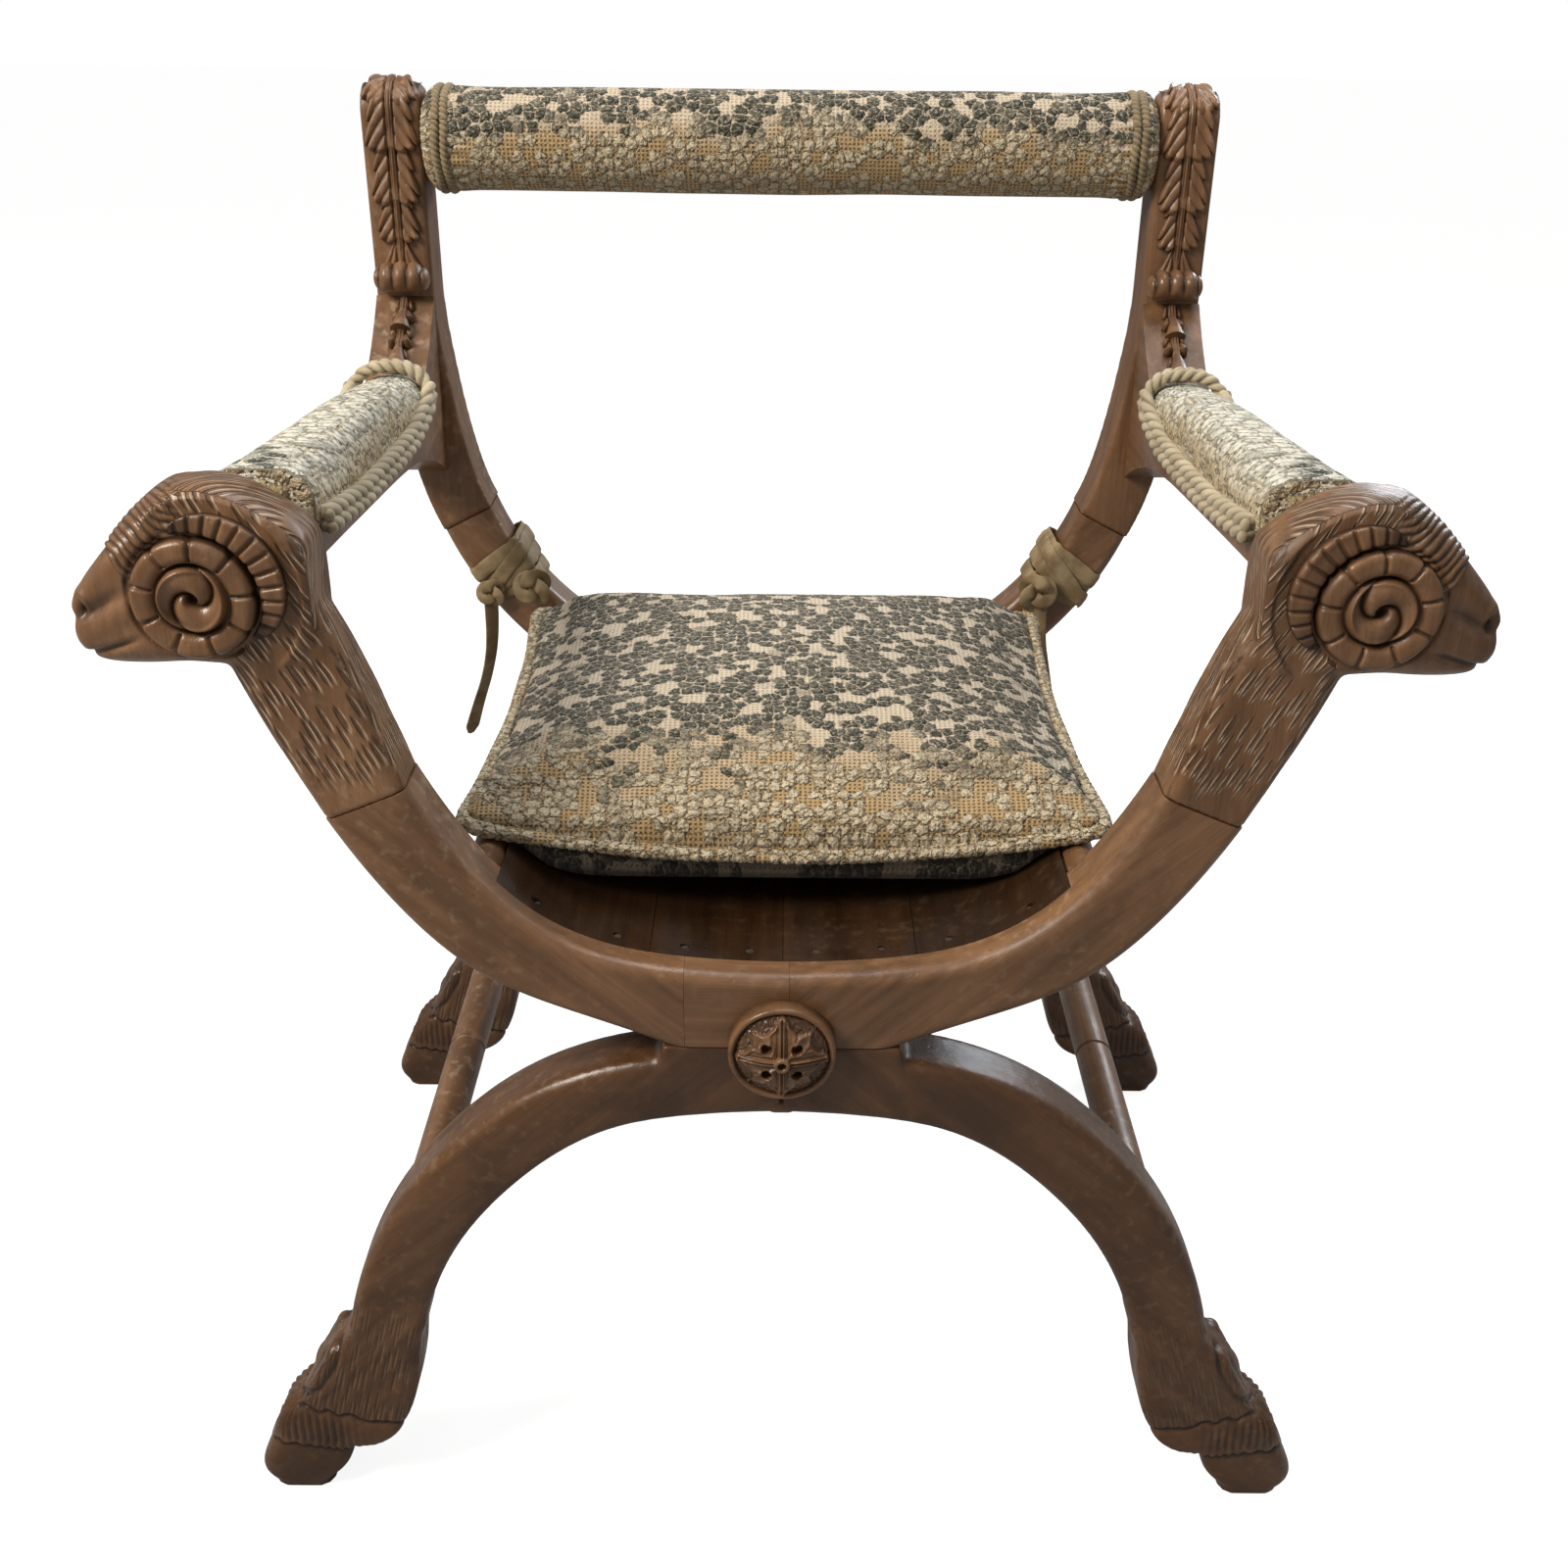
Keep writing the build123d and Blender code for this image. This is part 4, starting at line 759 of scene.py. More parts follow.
@dataclass(frozen=True)
class Thread:
    """Twisted cotton and silk of the braid."""

    name: str = "arm_thread"
    pale: Colour = (0.560, 0.475, 0.320)
    deep: Colour = (0.235, 0.175, 0.095)

    def material(self) -> bpy.types.Material:
        """Builds the finish."""
        tree = Tree(self.name)
        clouds = tree.noise(tree.place, 45.0, 3.0)
        fibres = tree.noise(tree.place, 1400.0, 2.0)
        colour = tree.mix(tree.step(clouds, 0.3, 0.7, 0.0, 0.55), self.pale, self.deep)
        colour = tree.mix(tree.step(fibres, 0.45, 0.75, 0.0, 0.5), colour, self.deep)
        colour = tree.mix(tree.kept("recess"), colour, (0.075, 0.048, 0.022))
        relief = tree.bump(fibres, 0.0004, 0.7)
        return tree.dress(colour, 0.82, relief, Sheen_Weight=0.2, Specular_IOR_Level=0.25)


@dataclass(frozen=True)
class WornTape:
    """Soft leather tape with rubbed edges."""

    body: Colour = (0.180, 0.120, 0.055)
    paler: Colour = (0.330, 0.245, 0.135)

    def material(self) -> bpy.types.Material:
        """Builds the finish."""
        tree = Tree("tie_tape")
        clouds = tree.noise(tree.place, 60.0, 4.0)
        pores = tree.cells(tree.place, 900.0)
        colour = tree.mix(tree.step(clouds, 0.35, 0.7), self.body, self.paler)
        colour = tree.mix(tree.kept("recess"), colour, (0.050, 0.032, 0.016))
        relief = tree.bump(pores, 0.0003, 0.4, tree.bump(clouds, 0.0012, 0.5))
        return tree.dress(colour, tree.step(clouds, 0.3, 0.7, 0.5, 0.75), relief, Specular_IOR_Level=0.35)


@dataclass(frozen=True)
class OldIron:
    """Dull iron of the nails."""

    body: Colour = (0.085, 0.075, 0.068)

    def material(self) -> bpy.types.Material:
        """Builds the finish."""
        tree = Tree("old_iron")
        spots = tree.noise(tree.place, 700.0, 3.0)
        colour = tree.mix(tree.step(spots, 0.4, 0.7), self.body, (0.11, 0.055, 0.03))
        roughness = tree.step(spots, 0.3, 0.7, 0.45, 0.75)
        return tree.dress(colour, roughness, tree.bump(spots, 0.0003, 0.5), Metallic=0.8)


def dressed(
    piece: Piece, material: bpy.types.Material, nodes: Sequence[str] = (), body: str = "frame"
) -> Piece:
    """Gives a piece its material and body, and puts it in place of frame nodes.

    Args:
        piece: the piece.
        material: its finish.
        nodes: frame nodes that it stands for.
        body: the body that it rides on.

    Returns:
        The same piece.
    """
    piece.data.materials.clear()
    piece.data.materials.append(material)
    if nodes:
        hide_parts(*nodes)
    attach(piece, body)
    LOG.info("%s: %d faces", piece.name, len(piece.data.polygons))
    return piece


def both_sides(piece: Piece, material: bpy.types.Material, node: str = "") -> Piece:
    """Dresses a right-hand piece and its mirrored copy.

    Args:
        piece: the right-hand piece, whose name ends in _right.
        material: their finish.
        node: frame node that each stands for, without its side.

    Returns:
        The left-hand piece.
    """
    other = twin(piece, piece.name.replace("_right", "_left"), mirror=True)
    dressed(other, material, [f"{node}_left"] if node else ())
    dressed(piece, material, [f"{node}_right"] if node else ())
    return other


# ---------------------------------------------------------------- stage
@dataclass
class Stage:
    """Camera, lamps and floor, with places in metres and angles in radians."""

    eye: Sequence[float] = (-0.00349, -1.06305, 0.95709)
    yaw: float = 0.0035
    pitch: float = 0.4631
    roll: float = -0.0115
    lens: float = 38.25
    aim: Sequence[float] = (0.0, 0.0, 0.45)

    def camera(self) -> None:
        """Sets the camera at the viewing angle."""
        yaw, pitch, roll = self.yaw, self.pitch, self.roll
        ahead = Vector((math.sin(yaw) * math.cos(pitch), math.cos(yaw) * math.cos(pitch), -math.sin(pitch)))
        level = Vector((math.cos(yaw), -math.sin(yaw), 0.0))
        down = ahead.cross(level)
        right = math.cos(roll) * level + math.sin(roll) * down
        below = math.cos(roll) * down - math.sin(roll) * level
        data = bpy.data.cameras.new("camera")
        data.sensor_width, data.lens = 36.0, self.lens
        data.clip_start, data.clip_end = 0.05, 60.0
        camera = bpy.data.objects.new("camera", data)
        bpy.context.scene.collection.objects.link(camera)
        turn = Matrix((right, -below, -ahead)).transposed()
        camera.matrix_world = Matrix.Translation(Vector(self.eye)) @ turn.to_4x4()
        bpy.context.scene.camera = camera

    def lamp(self, name: str, place: Sequence[float], size: float, power: float, colour: Colour) -> None:
        """Adds a square soft lamp that looks at the chair.

        Args:
            name: the lamp's name.
            place: where it hangs, in metres.
            size: its width.
            power: its power in watts.
            colour: its light.
        """
        data = bpy.data.lights.new(name, "AREA")
        data.size, data.energy, data.color = size, power, colour
        lamp = bpy.data.objects.new(name, data)
        bpy.context.scene.collection.objects.link(lamp)
        lamp.location = place
        lamp.rotation_euler = (Vector(self.aim) - Vector(place)).to_track_quat("-Z", "Y").to_euler()

    def floor(self) -> None:
        """Plain pale floor with the chair's shadow on it."""
        deselect()
        bpy.ops.mesh.primitive_plane_add(size=30.0)
        floor = bpy.context.active_object
        floor.name = "floor"
        tree = Tree("floor_paint")
        paint = tree.dress((0.34, 0.33, 0.32, 1.0), 0.9, tree.bump(tree.noise(tree.place, 40.0), 0.0005, 0.1))
        seen = tree.add("ShaderNodeLightPath").outputs["Is Camera Ray"]
        tree.shader.inputs["Emission Color"].default_value = (1.0, 1.0, 1.0, 1.0)
        tree.links.new(tree.math("MULTIPLY", seen, 0.86), tree.shader.inputs["Emission Strength"])
        floor.data.materials.append(paint)

    def world(self) -> None:
        """White to the camera, and an even soft light on the chair."""
        world = bpy.data.worlds.new("studio")
        world.use_nodes = True
        nodes, links = world.node_tree.nodes, world.node_tree.links
        ground = nodes["Background"]
        ground.inputs[0].default_value = (0.97, 0.98, 1.0, 1.0)
        ground.inputs[1].default_value = 0.34
        white = nodes.new("ShaderNodeBackground")
        white.inputs[0].default_value = (1.0, 1.0, 1.0, 1.0)
        path = nodes.new("ShaderNodeLightPath")
        seen = nodes.new("ShaderNodeMath")
        seen.operation = "MAXIMUM"
        links.new(path.outputs["Is Camera Ray"], seen.inputs[0])
        links.new(path.outputs["Is Transmission Ray"], seen.inputs[1])
        blend = nodes.new("ShaderNodeMixShader")
        links.new(seen.outputs[0], blend.inputs[0])
        links.new(ground.outputs[0], blend.inputs[1])
        links.new(white.outputs[0], blend.inputs[2])
        links.new(blend.outputs[0], nodes["World Output"].inputs["Surface"])
        bpy.context.scene.world = world

    def build(self) -> None:
        """Makes the whole stage."""
        self.camera()
        self.floor()
        self.world()
        self.lamp("window", (-1.7, -1.1, 2.3), 0.9, 72.0, (1.0, 0.93, 0.83))
        self.lamp("ceiling", (0.4, 0.3, 2.8), 1.3, 28.0, (0.97, 0.98, 1.0))
        self.lamp("back", (1.5, 1.9, 1.7), 0.9, 36.0, (0.84, 0.92, 1.0))
        bpy.context.scene.view_settings.view_transform = "Standard"


# ---------------------------------------------------------------- ties
@dataclass
class Tape:
    """Loose end of a tie: a flat tape that hangs from its knot.

    Its route is in metres, its other sizes in millimetres and its facing in radians.
    """

    name: str
    route: Sequence[Sequence[float]]
    length: float
    facing: float
    width: float = 12.0
    thickness: float = 1.8

    def line(self) -> Array:
        """Points of the tape's middle line, in millimetres."""
        curve = bpy.data.curves.new(f"{self.name}_line", "CURVE")
        curve.dimensions = "3D"
        spline = curve.splines.new("NURBS")
        spline.points.add(len(self.route) - 1)
        for point, place in zip(spline.points, self.route):
            point.co = (*place, 1.0)
        spline.order_u = 3
        spline.use_endpoint_u = True
        spline.resolution_u = 10
        holder = bpy.data.objects.new(f"{self.name}_line", curve)
        bpy.context.scene.collection.objects.link(holder)
        bpy.context.view_layer.update()
        mesh = bpy.data.meshes.new_from_object(holder.evaluated_get(bpy.context.evaluated_depsgraph_get()))
        points = np.array([vertex.co[:] for vertex in mesh.vertices], float) * 1000.0
        bpy.data.objects.remove(holder)
        bpy.data.meshes.remove(mesh)
        return points

    def build(self, material: bpy.types.Material) -> None:
        """Args:
            material: its finish.
        """
        line = Route(self.line())

        def shape(u: Array, v: Array) -> Array:
            """Flat rounded section along the line, with a blunt pointed end."""
            along = v * line.reach
            middle = line.at(along)
            ends = np.minimum(smooth(-0.001, 0.004, v), smooth(1.001, 0.996, v))
            point = 1.0 - 0.55 * smooth(line.reach - 9.0, line.reach, along)
            turn = 2.0 * math.pi * u
            twist = self.facing + 0.35 * np.sin(along / 38.0)
            wide = self.width / 2 * fuller(np.cos(turn), 0.6) * point * ends
            thick = self.thickness / 2 * fuller(np.sin(turn), 0.8) * ends
            middle[:, 0] += wide * np.cos(twist) - thick * np.sin(twist)
            middle[:, 1] += wide * np.sin(twist) + thick * np.cos(twist)
            return middle

        piece = wrapped(self.name, 24, 90, shape)
        dressed(piece, material, [self.name.replace("_tape", "")])


TAILS = (
    Tape("tie_tail_left_tape", (
        (-0.2370, 0.20535, 0.4866), (-0.2370, 0.20535, 0.4566), (-0.2430, 0.20235, 0.4246),
        (-0.2540, 0.20135, 0.3946), (-0.2620, 0.20435, 0.3686),
    ), 120.8, 0.5),
    Tape("tie_tail_right_1_tape", (
        (0.2050, 0.20135, 0.4926), (0.2050, 0.20135, 0.4646), (0.2110, 0.19935, 0.4346),
        (0.2170, 0.20035, 0.4046), (0.2200, 0.20335, 0.3756),
    ), 117.8, -0.35),
    Tape("tie_tail_right_2_tape", (
        (0.1970, 0.20135, 0.4926), (0.1970, 0.20135, 0.4666), (0.2020, 0.19735, 0.4406),
        (0.2070, 0.19535, 0.4126), (0.2080, 0.19735, 0.3866),
    ), 106.8, 0.25),
)


@dataclass
class Tie:
    """Tape wound round the rear yoke and knotted on its inner side.

    Its sizes are in millimetres. Each turn has its offset along the yoke, its tilt and its lift.
    """

    side: int
    middle: Sequence[float] = (225.0, REAR_MID_Y, 508.6)
    lean: float = math.radians(32.3)
    width: float = 43.0
    depth: float = 42.0
    square: float = 0.36
    tape: float = 13.0
    turns: Sequence[tuple[float, float, float]] = (
        (-13.0, 5.0, 1.6), (-4.5, -6.0, 3.0), (4.0, 7.0, 1.8), (12.5, -4.0, 3.2), (1.0, -16.0, 4.6),
    )

    def winding(self, number: int, offset: float, tilt: float, lift: float) -> Piece:
        """One turn of tape.

        Args:
            number: which turn.
            offset: how far up the yoke its edge lies, in millimetres.
            tilt: how much higher it is on one side.
            lift: how far it lies off the wood.

        Returns:
            The turn.
        """

        def shape(u: Array, v: Array) -> Array:
            """Tape's own flat section swept round the yoke."""
            turn = 2.0 * math.pi * v
            half = self.tape / 2 * fuller(np.cos(turn), 0.5)
            thick = np.sin(turn) * (1.0 - 0.5 * np.abs(np.cos(turn)))
            across = (self.width / 2 + lift) * fuller(np.cos(2.0 * math.pi * u), self.square)
            back = (self.depth / 2 + lift) * fuller(np.sin(2.0 * math.pi * u), self.square)
            grow = 1.0 + thick / 22.0
            pucker = 0.35 * np.sin(u * 2 * math.pi * 9.0 + number)
            along = offset + half + tilt * across / self.width + pucker
            x = self.middle[0] + across * grow * math.cos(self.lean) + along * math.sin(self.lean)
            z = self.middle[2] - across * grow * math.sin(self.lean) + along * math.cos(self.lean)
            return rows(x * self.side, self.middle[1] + back * grow, z)

        return wrapped(f"tie_turn_{number}", 128, 14, shape)

    def knot(self, name: str, place: Sequence[float], size: float) -> Piece:
        """Tape tied over itself three times.

        Args:
            name: the knot's name.
            place: its middle on the right-hand side, in millimetres.
            size: its reach.

        Returns:
            The knot.
        """

        def line(a: Array) -> Array:
            """Middle line of the knot."""
            reach = size * (0.62 + 0.30 * np.cos(3 * a))
            return rows(reach * np.cos(2 * a), size * 0.42 * np.sin(3 * a), reach * np.sin(2 * a))

        def shape(u: Array, v: Array) -> Array:
            """Flat tube along a three-lobed knot."""
            t, turn = 2.0 * math.pi * v, 2.0 * math.pi * u
            ahead = line(t + 0.01) - line(t - 0.01)
            ahead /= np.linalg.norm(ahead, axis=1)[:, None]
            wide, high = 0.46 * size * np.cos(turn), 0.12 * size * np.sin(turn)
            here = beside(line(t), ahead, np.array([0.0, 1.0, 0.0]), wide, high)
            return (here + np.array(place)) * np.array([self.side, 1.0, 1.0])

        return wrapped(name, 20, 150, shape)

    def build(self, material: bpy.types.Material) -> None:
        """Makes the winding and its knots as one piece."""
        label = "right" if self.side > 0 else "left"
        parts = [self.winding(number, *turn) for number, turn in enumerate(self.turns)]
        parts.append(self.knot("tie_knot", (201.5, 199.5, 500.6), 12.0))
        if self.side < 0:
            parts.append(self.knot("tie_loop", (236.0, 203.5, 494.0), 9.0))
        dressed(joined(parts, f"tie_tape_{label}"), material, [f"tie_{label}"])


# ---------------------------------------------------------------- carving
@dataclass
class Leg:
    """Half arch that ends in a hairy fetlock and a cloven hoof.

    The sizes are in millimetres: the even mesh, where the hair starts, the foot's middle and inner side,
    and the line of the tuft down the shank.
    """

    voxel: float = 2.7
    hair_top: float = 150.0
    foot_middle: float = 303.0
    inner_side: tuple[float, float] = (215.0, 228.0)
    fold: Sequence[tuple[float, float]] = ((293.0, 150.0), (298.0, 118.0), (309.0, 98.0), (331.0, 80.0))

    def hair_end(self, x: Array) -> Array:
        """Height where the hair meets the collar."""
        return 61.0 + 0.26 * (x - 255.0)

    def cut(self, points: Array, out: Array) -> tuple[Array, Array]:
        """Hair, collar and hoof of the right front leg.

        Args:
            points: places on the leg, in millimetres.
            out: its outward directions there.

        Returns:
            How far each place moves out, and how dark it lies.
        """
        x, y, z = points[:, 0], points[:, 1] - FRONT_MID_Y, points[:, 2]
        foot = smooth(self.hair_top, self.hair_top - 40.0, z) * smooth(*self.inner_side, x)
        turn = np.arctan2(y, x - self.foot_middle)
        front = smooth(-0.95, -0.1, np.cos(turn))
        hair_edge = self.hair_end(x) + 1.8 * np.sin(turn * 11.0)
        collar_edge = 36.0 + 0.15 * (x - 287.0) + 1.0 * np.cos(turn * 26.0)
        above = smooth(hair_edge - 1.0, hair_edge + 1.0, z)
        below = 1.0 - smooth(collar_edge - 1.0, collar_edge + 1.0, z)
        collar = (1.0 - above) * (1.0 - below)
        # locks fall down the shank and over the fetlock
        locks = strokes(self.across(points, out), z, 7.0, 52.0, 3)
        move = foot * above * (0.9 - 0.6 * locks)
        recess = foot * above * 0.08 * locks
        # tuft line along the shank's front, curling in above the collar
        fold = np.min([from_segment(x, z, *ends)[0] for ends in zip(self.fold, self.fold[1:])], axis=0)
        aside = smooth(5.0, 11.0, np.abs(y)) * smooth(158.0, 140.0, z)
        move += aside * (1.2 * ridge(fold, 2.6) - 2.2 * ridge(fold - 4.8, 2.0))
        recess += aside * 0.7 * ridge(fold - 4.6, 1.8)
        # collar of combed hair over the hoof
        comb = 0.5 - 0.5 * np.cos((x - np.abs(y)) * 2.0 * math.pi / 5.2)
        middle = np.clip((z - collar_edge) / np.maximum(hair_edge - collar_edge, 6.0), 0.0, 1.0)
        bulge = np.sqrt(4.0 * middle * (1.0 - middle))
        ends = smooth(0.0, 0.25, middle) * smooth(1.0, 0.7, middle)
        move += foot * collar * (4.2 * bulge - 1.8 - 2.0 * comb * front * ends)
        recess += foot * collar * 0.60 * comb * front * ends
        seam = foot * (ridge(z - hair_edge + 1.0, 1.6) + ridge(z - collar_edge, 1.5))
        recess += 0.85 * seam + 0.32 * foot * below
        move -= 1.2 * seam
        move -= foot * below * 1.8 * smooth(-0.5, 4.0, z)
        return move, recess

    def across(self, points: Array, out: Array) -> Array:
        """Place across the hair's flow."""
        x, y, z = points[:, 0], points[:, 1] - FRONT_MID_Y, points[:, 2]
        return 0.97 * x + 0.24 * z + np.where(np.abs(out[:, 1]) > 0.6, 0.0, 1.2 * y)

    def comb(self, piece: Piece) -> None:
        """Marks the finer hair strokes of the foot and the shank."""
        points, out = corners(piece), normals(piece)
        x, z = points[:, 0], points[:, 2]
        share = smooth(185.0, 120.0, z) * smooth(*self.inner_side, x)
        share *= smooth(-1.0, 1.0, z - self.hair_end(x))
        store_hair(piece, 0.34 * share, self.across(points, out) / 2.8, z / 34.0)

    def build(self, node: Piece) -> None:
        """Makes the four legs.

        Args:
            node: the right front leg of the frame.
        """
        first = fine_copy(node, "carved_front_leg_right", self.voxel, 2)
        carve(first, self.cut)
        self.comb(first)
        pieces = {"front_leg_right": first}
        steps = {"front_leg_left": 0.0, "rear_leg_right": FRAME_STEP, "rear_leg_left": FRAME_STEP}
        for name, step in steps.items():
            pieces[name] = twin(first, f"carved_{name}", mirror=name.endswith("left"), step_y=step)
        for name, piece in pieces.items():
            grain = Grain.RISING_LEFT if name.endswith("right") else Grain.RISING_RIGHT
            dressed(piece, AgedWood(grain, shade=LOW_SHADE).material(), [name])


@dataclass
class Ram:
    """Neck and head with curled horns.

    The sizes are in millimetres: the horn's middle and radius, the radius of the groove round its curl,
    half the head's thickness under the horns, the brow, and the even mesh.
    """

    horn: Sequence[float] = (307.0, 655.0)
    horn_radius: float = 33.5
    ring: float = 19.5
    bed_half: float = 20.0
    brow: Sequence[float] = (342.0, 664.0)
    voxel: float = 2.1

    def from_horn(self, points: Array) -> tuple[Array, Array]:
        """Distance from the horn's middle, and the angle round it."""
        across, up = points[:, 0] - self.horn[0], points[:, 2] - self.horn[1]
        return np.hypot(across, up), np.arctan2(up, across)

    def head_cut(self, points: Array, out: Array) -> tuple[Array, Array]:
        """Forelock and face of the right head.

        Args:
            points: places on the head, in millimetres.
            out: its outward directions there; not used.

        Returns:
            How far each place moves out, and how dark it lies.
        """
        x, y, z = points[:, 0], points[:, 1] - FRONT_MID_Y, points[:, 2]
        from_horn, around = self.from_horn(points)
        # forelock: waved locks that end over the face
        wave = 0.80 * x + 0.60 * z + 1.9 * np.sin((0.60 * x - 0.80 * z) / 3.4) + 0.25 * np.abs(y)
        across = 0.60 * x - 0.80 * z + 0.55 * np.abs(y) + 2.2 * np.sin(wave / 4.2)
        strand = 0.5 - 0.5 * np.cos(across * 2.0 * math.pi / 4.8)
        over = z - self.brow[1]
        edge = (x - self.brow[0]) * 0.80 - over * 0.42 + 1.6 * np.sin(across * 2.0 * math.pi / 12.8)
        edge = np.where(over < 0.0, np.hypot(edge + 8.0, over * 1.4) - 8.0, edge)
        forelock = smooth(1.4, -1.4, edge) * smooth(math.radians(92.0), math.radians(76.0), around)
        forelock *= smooth(-0.15, 0.15, around) * smooth(31.0, 34.0, from_horn)
        groove = (1.0 - strand) ** 1.6
        move = forelock * (2.2 - 1.3 * groove * (0.30 + 0.70 * smooth(5.0, 15.0, np.abs(y))))
        recess = forelock * 0.80 * groove
        recess += 0.7 * ridge(edge - 1.2, 1.2) * smooth(320.0, 335.0, x) * smooth(655.0, 664.0, z)
        # face: bridge, cheek and jaw between two long furrows
        aside = smooth(3.0, 9.0, np.abs(y)) * smooth(33.0, 36.0, from_horn)
        furrow, share = from_segment(x, z, (340.0, 659.0), (373.0, 640.0))
        mouth, mouth_share = from_segment(x, z, (334.0, 633.0), (377.0, 616.5))
        move -= aside * 2.8 * ridge(furrow, 3.8) * smooth(0.0, 0.4, share)
        recess += aside * 0.60 * ridge(furrow, 2.8) * smooth(0.1, 0.6, share)
        move -= aside * 2.4 * ridge(mouth, 2.1) * smooth(0.0, 0.35, mouth_share)
        recess += aside * 0.90 * ridge(mouth, 1.6) * smooth(0.0, 0.5, mouth_share)
        cheek, _ = from_segment(x, z, (344.0, 646.0), (370.0, 630.0))
        move += aside * 1.5 * ridge(cheek, 6.0)
        nostril = np.hypot(x - 371.0, (z - 645.5) / 1.7)
        move -= aside * 3.6 * ridge(nostril, 2.4)
        recess += aside * 0.9 * ridge(nostril, 1.9)
        move += aside * 1.1 * ridge(nostril - 4.6, 1.7)
        move += 0.3 * grain_noise(points / 16.0, 2)
        return move, recess

    def comb(self, head: Piece) -> None:
        """Marks the hair strokes of the neck and the crown.

        Args:
            head: the right head.
        """
        points, out = corners(head), normals(head)
        x, y, z = points[:, 0], points[:, 1] - FRONT_MID_Y, points[:, 2]
        from_horn, around = self.from_horn(points)
        share = smooth(34.0, 37.0, from_horn) * smooth(330.0, 316.0, x) * smooth(538.0, 556.0, z)
        share *= smooth(math.radians(60.0), math.radians(95.0), np.abs(around))
        wave = 2.0 * np.sin(z / 23.0)
        side = 0.87 * x - 0.50 * z + wave + np.where(np.abs(out[:, 1]) > 0.6, 0.0, 1.3 * y)
        store_hair(head, share, side / 3.5, (0.50 * x + 0.87 * z) / 28.0)

    def bed(self, head: Piece) -> None:
        """Levels both sides of the head where the horns lie.

        Args:
            head: the right head.
        """
        points = corners(head)
        from_horn, around = self.from_horn(points)
        around = np.degrees(around) % 360.0
        y = points[:, 1] - FRONT_MID_Y
        nape = smooth(58.0, 72.0, around) * smooth(238.0, 224.0, around)
        near = np.maximum(smooth(37.5, 35.5, from_horn), nape * smooth(56.0, 53.0, from_horn))
        level = np.sign(y) * np.minimum(np.abs(y), self.bed_half + 0.6)
        points[:, 1] = FRONT_MID_Y + y + (level - y) * near
        move_corners(head, points)

    def on_side(self, radius: Array, turn: Array, proud: Array, face: int) -> Array:
        """Places round the horn's middle.

        Args:
            radius: distances from the middle, in millimetres.
            turn: angles round it.
            proud: heights over the bed.
            face: 1 for the front of the head, -1 for its back.

        Returns:
            The places.
        """
        x = self.horn[0] + radius * np.cos(turn)
        z = self.horn[1] + radius * np.sin(turn)
        return rows(x, FRONT_MID_Y - face * (self.bed_half + proud), z)

    def horn_height(self, radius: Array, turn: Array) -> tuple[Array, Array]:
        """Section of the curled horn.

        Args:
            radius: distances from the horn's middle, in millimetres.
            turn: angles round it.

        Returns:
            Heights over the bed, and the radius of the outer edge.
        """
        step = 2.0 * math.pi / 9.0
        off = (turn - 0.25 + step / 2) % step - step / 2
        notch = ridge(off * radius, 1.0)
        edge = self.horn_radius - 1.0 * ridge(off * self.horn_radius, 2.2)
        share = np.clip((radius - self.ring) / (edge - self.ring), 0.0, 1.0)
        rim = 9.8 * (1.0 - np.abs(2.0 * share - 0.92) ** 3.2 * 0.45) + 0.6 * ridge(share - 0.86, 0.16)
        rim -= 2.8 * notch * smooth(0.02, 0.15, share)
        curl = turn * 2.0 + radius * 2.0 * math.pi / 19.0
        arms = np.sqrt(np.abs(np.cos(curl / 2.0)))
        inner = 4.2 + 6.4 * arms * smooth(0.0, 5.0, radius) - 1.5 * smooth(0.0, 7.0, 7.0 - radius)
        inner -= 4.4 * ridge(radius - 19.0, 1.4)
        inner += 1.6 * ridge(radius - 16.6, 1.6)
        return np.where(radius > self.ring, rim, inner), edge

    def curl(self, face: int) -> Piece:
        """Horn on one side of the head, as a closed carved disc.

        Args:
            face: 1 for the front of the head, -1 for its back.

        Returns:
            The horn.
        """

        def shape(u: Array, v: Array) -> Array:
            """Front of the disc, its edge and its flat back."""
            turn = 2.0 * math.pi * u
            _, edge = self.horn_height(np.full_like(turn, self.horn_radius), turn)
            front = np.clip(v / 0.92, 0.0, 1.0)
            radius = edge * np.where(v < 0.92, front, (1.0 - v) / 0.08)
            height, _ = self.horn_height(radius, turn)
            rolled = height * np.sqrt(np.clip(1.0 - smooth(0.955, 1.0, front), 0.0, 1.0))
            return self.on_side(radius, turn, np.where(v < 0.92, rolled, -2.0), face)

        return wrapped("horn_curl", 220, 92, shape)

    def band(self, face: int) -> Piece:
        """Grooved band behind the horn, on the nape's side.

        Args:
            face: 1 for the front of the head, -1 for its back.

        Returns:
            The band.
        """

        def shape(u: Array, v: Array) -> Array:
            """Low rounded strip with radial grooves."""
            turn = math.radians(74.0) + math.radians(146.0) * v
            fade = np.sqrt(np.clip(np.sin(math.pi * v), 0.0, 1.0))
            loop = 2.0 * math.pi * u
            inner, outer = self.horn_radius + 1.0, self.horn_radius + 1.5 + 14.5 * fade
            radius = (inner + outer) / 2 + (outer - inner) / 2 * fuller(np.cos(loop), 0.55)
            step = math.radians(11.0)
            off = (turn % step) - step / 2
            groove = 2.2 * ridge(off * radius, 1.2)
            top = 5.0 + 2.4 * fade - groove + 0.8 * smooth(44.0, 48.0, radius)
            proud = np.where(np.sin(loop) > 0.0, top, 2.0) * fuller(np.sin(loop), 0.35)
            return self.on_side(radius, turn, proud * fade ** 0.5, face)

        return wrapped("horn_band", 56, 300, shape)

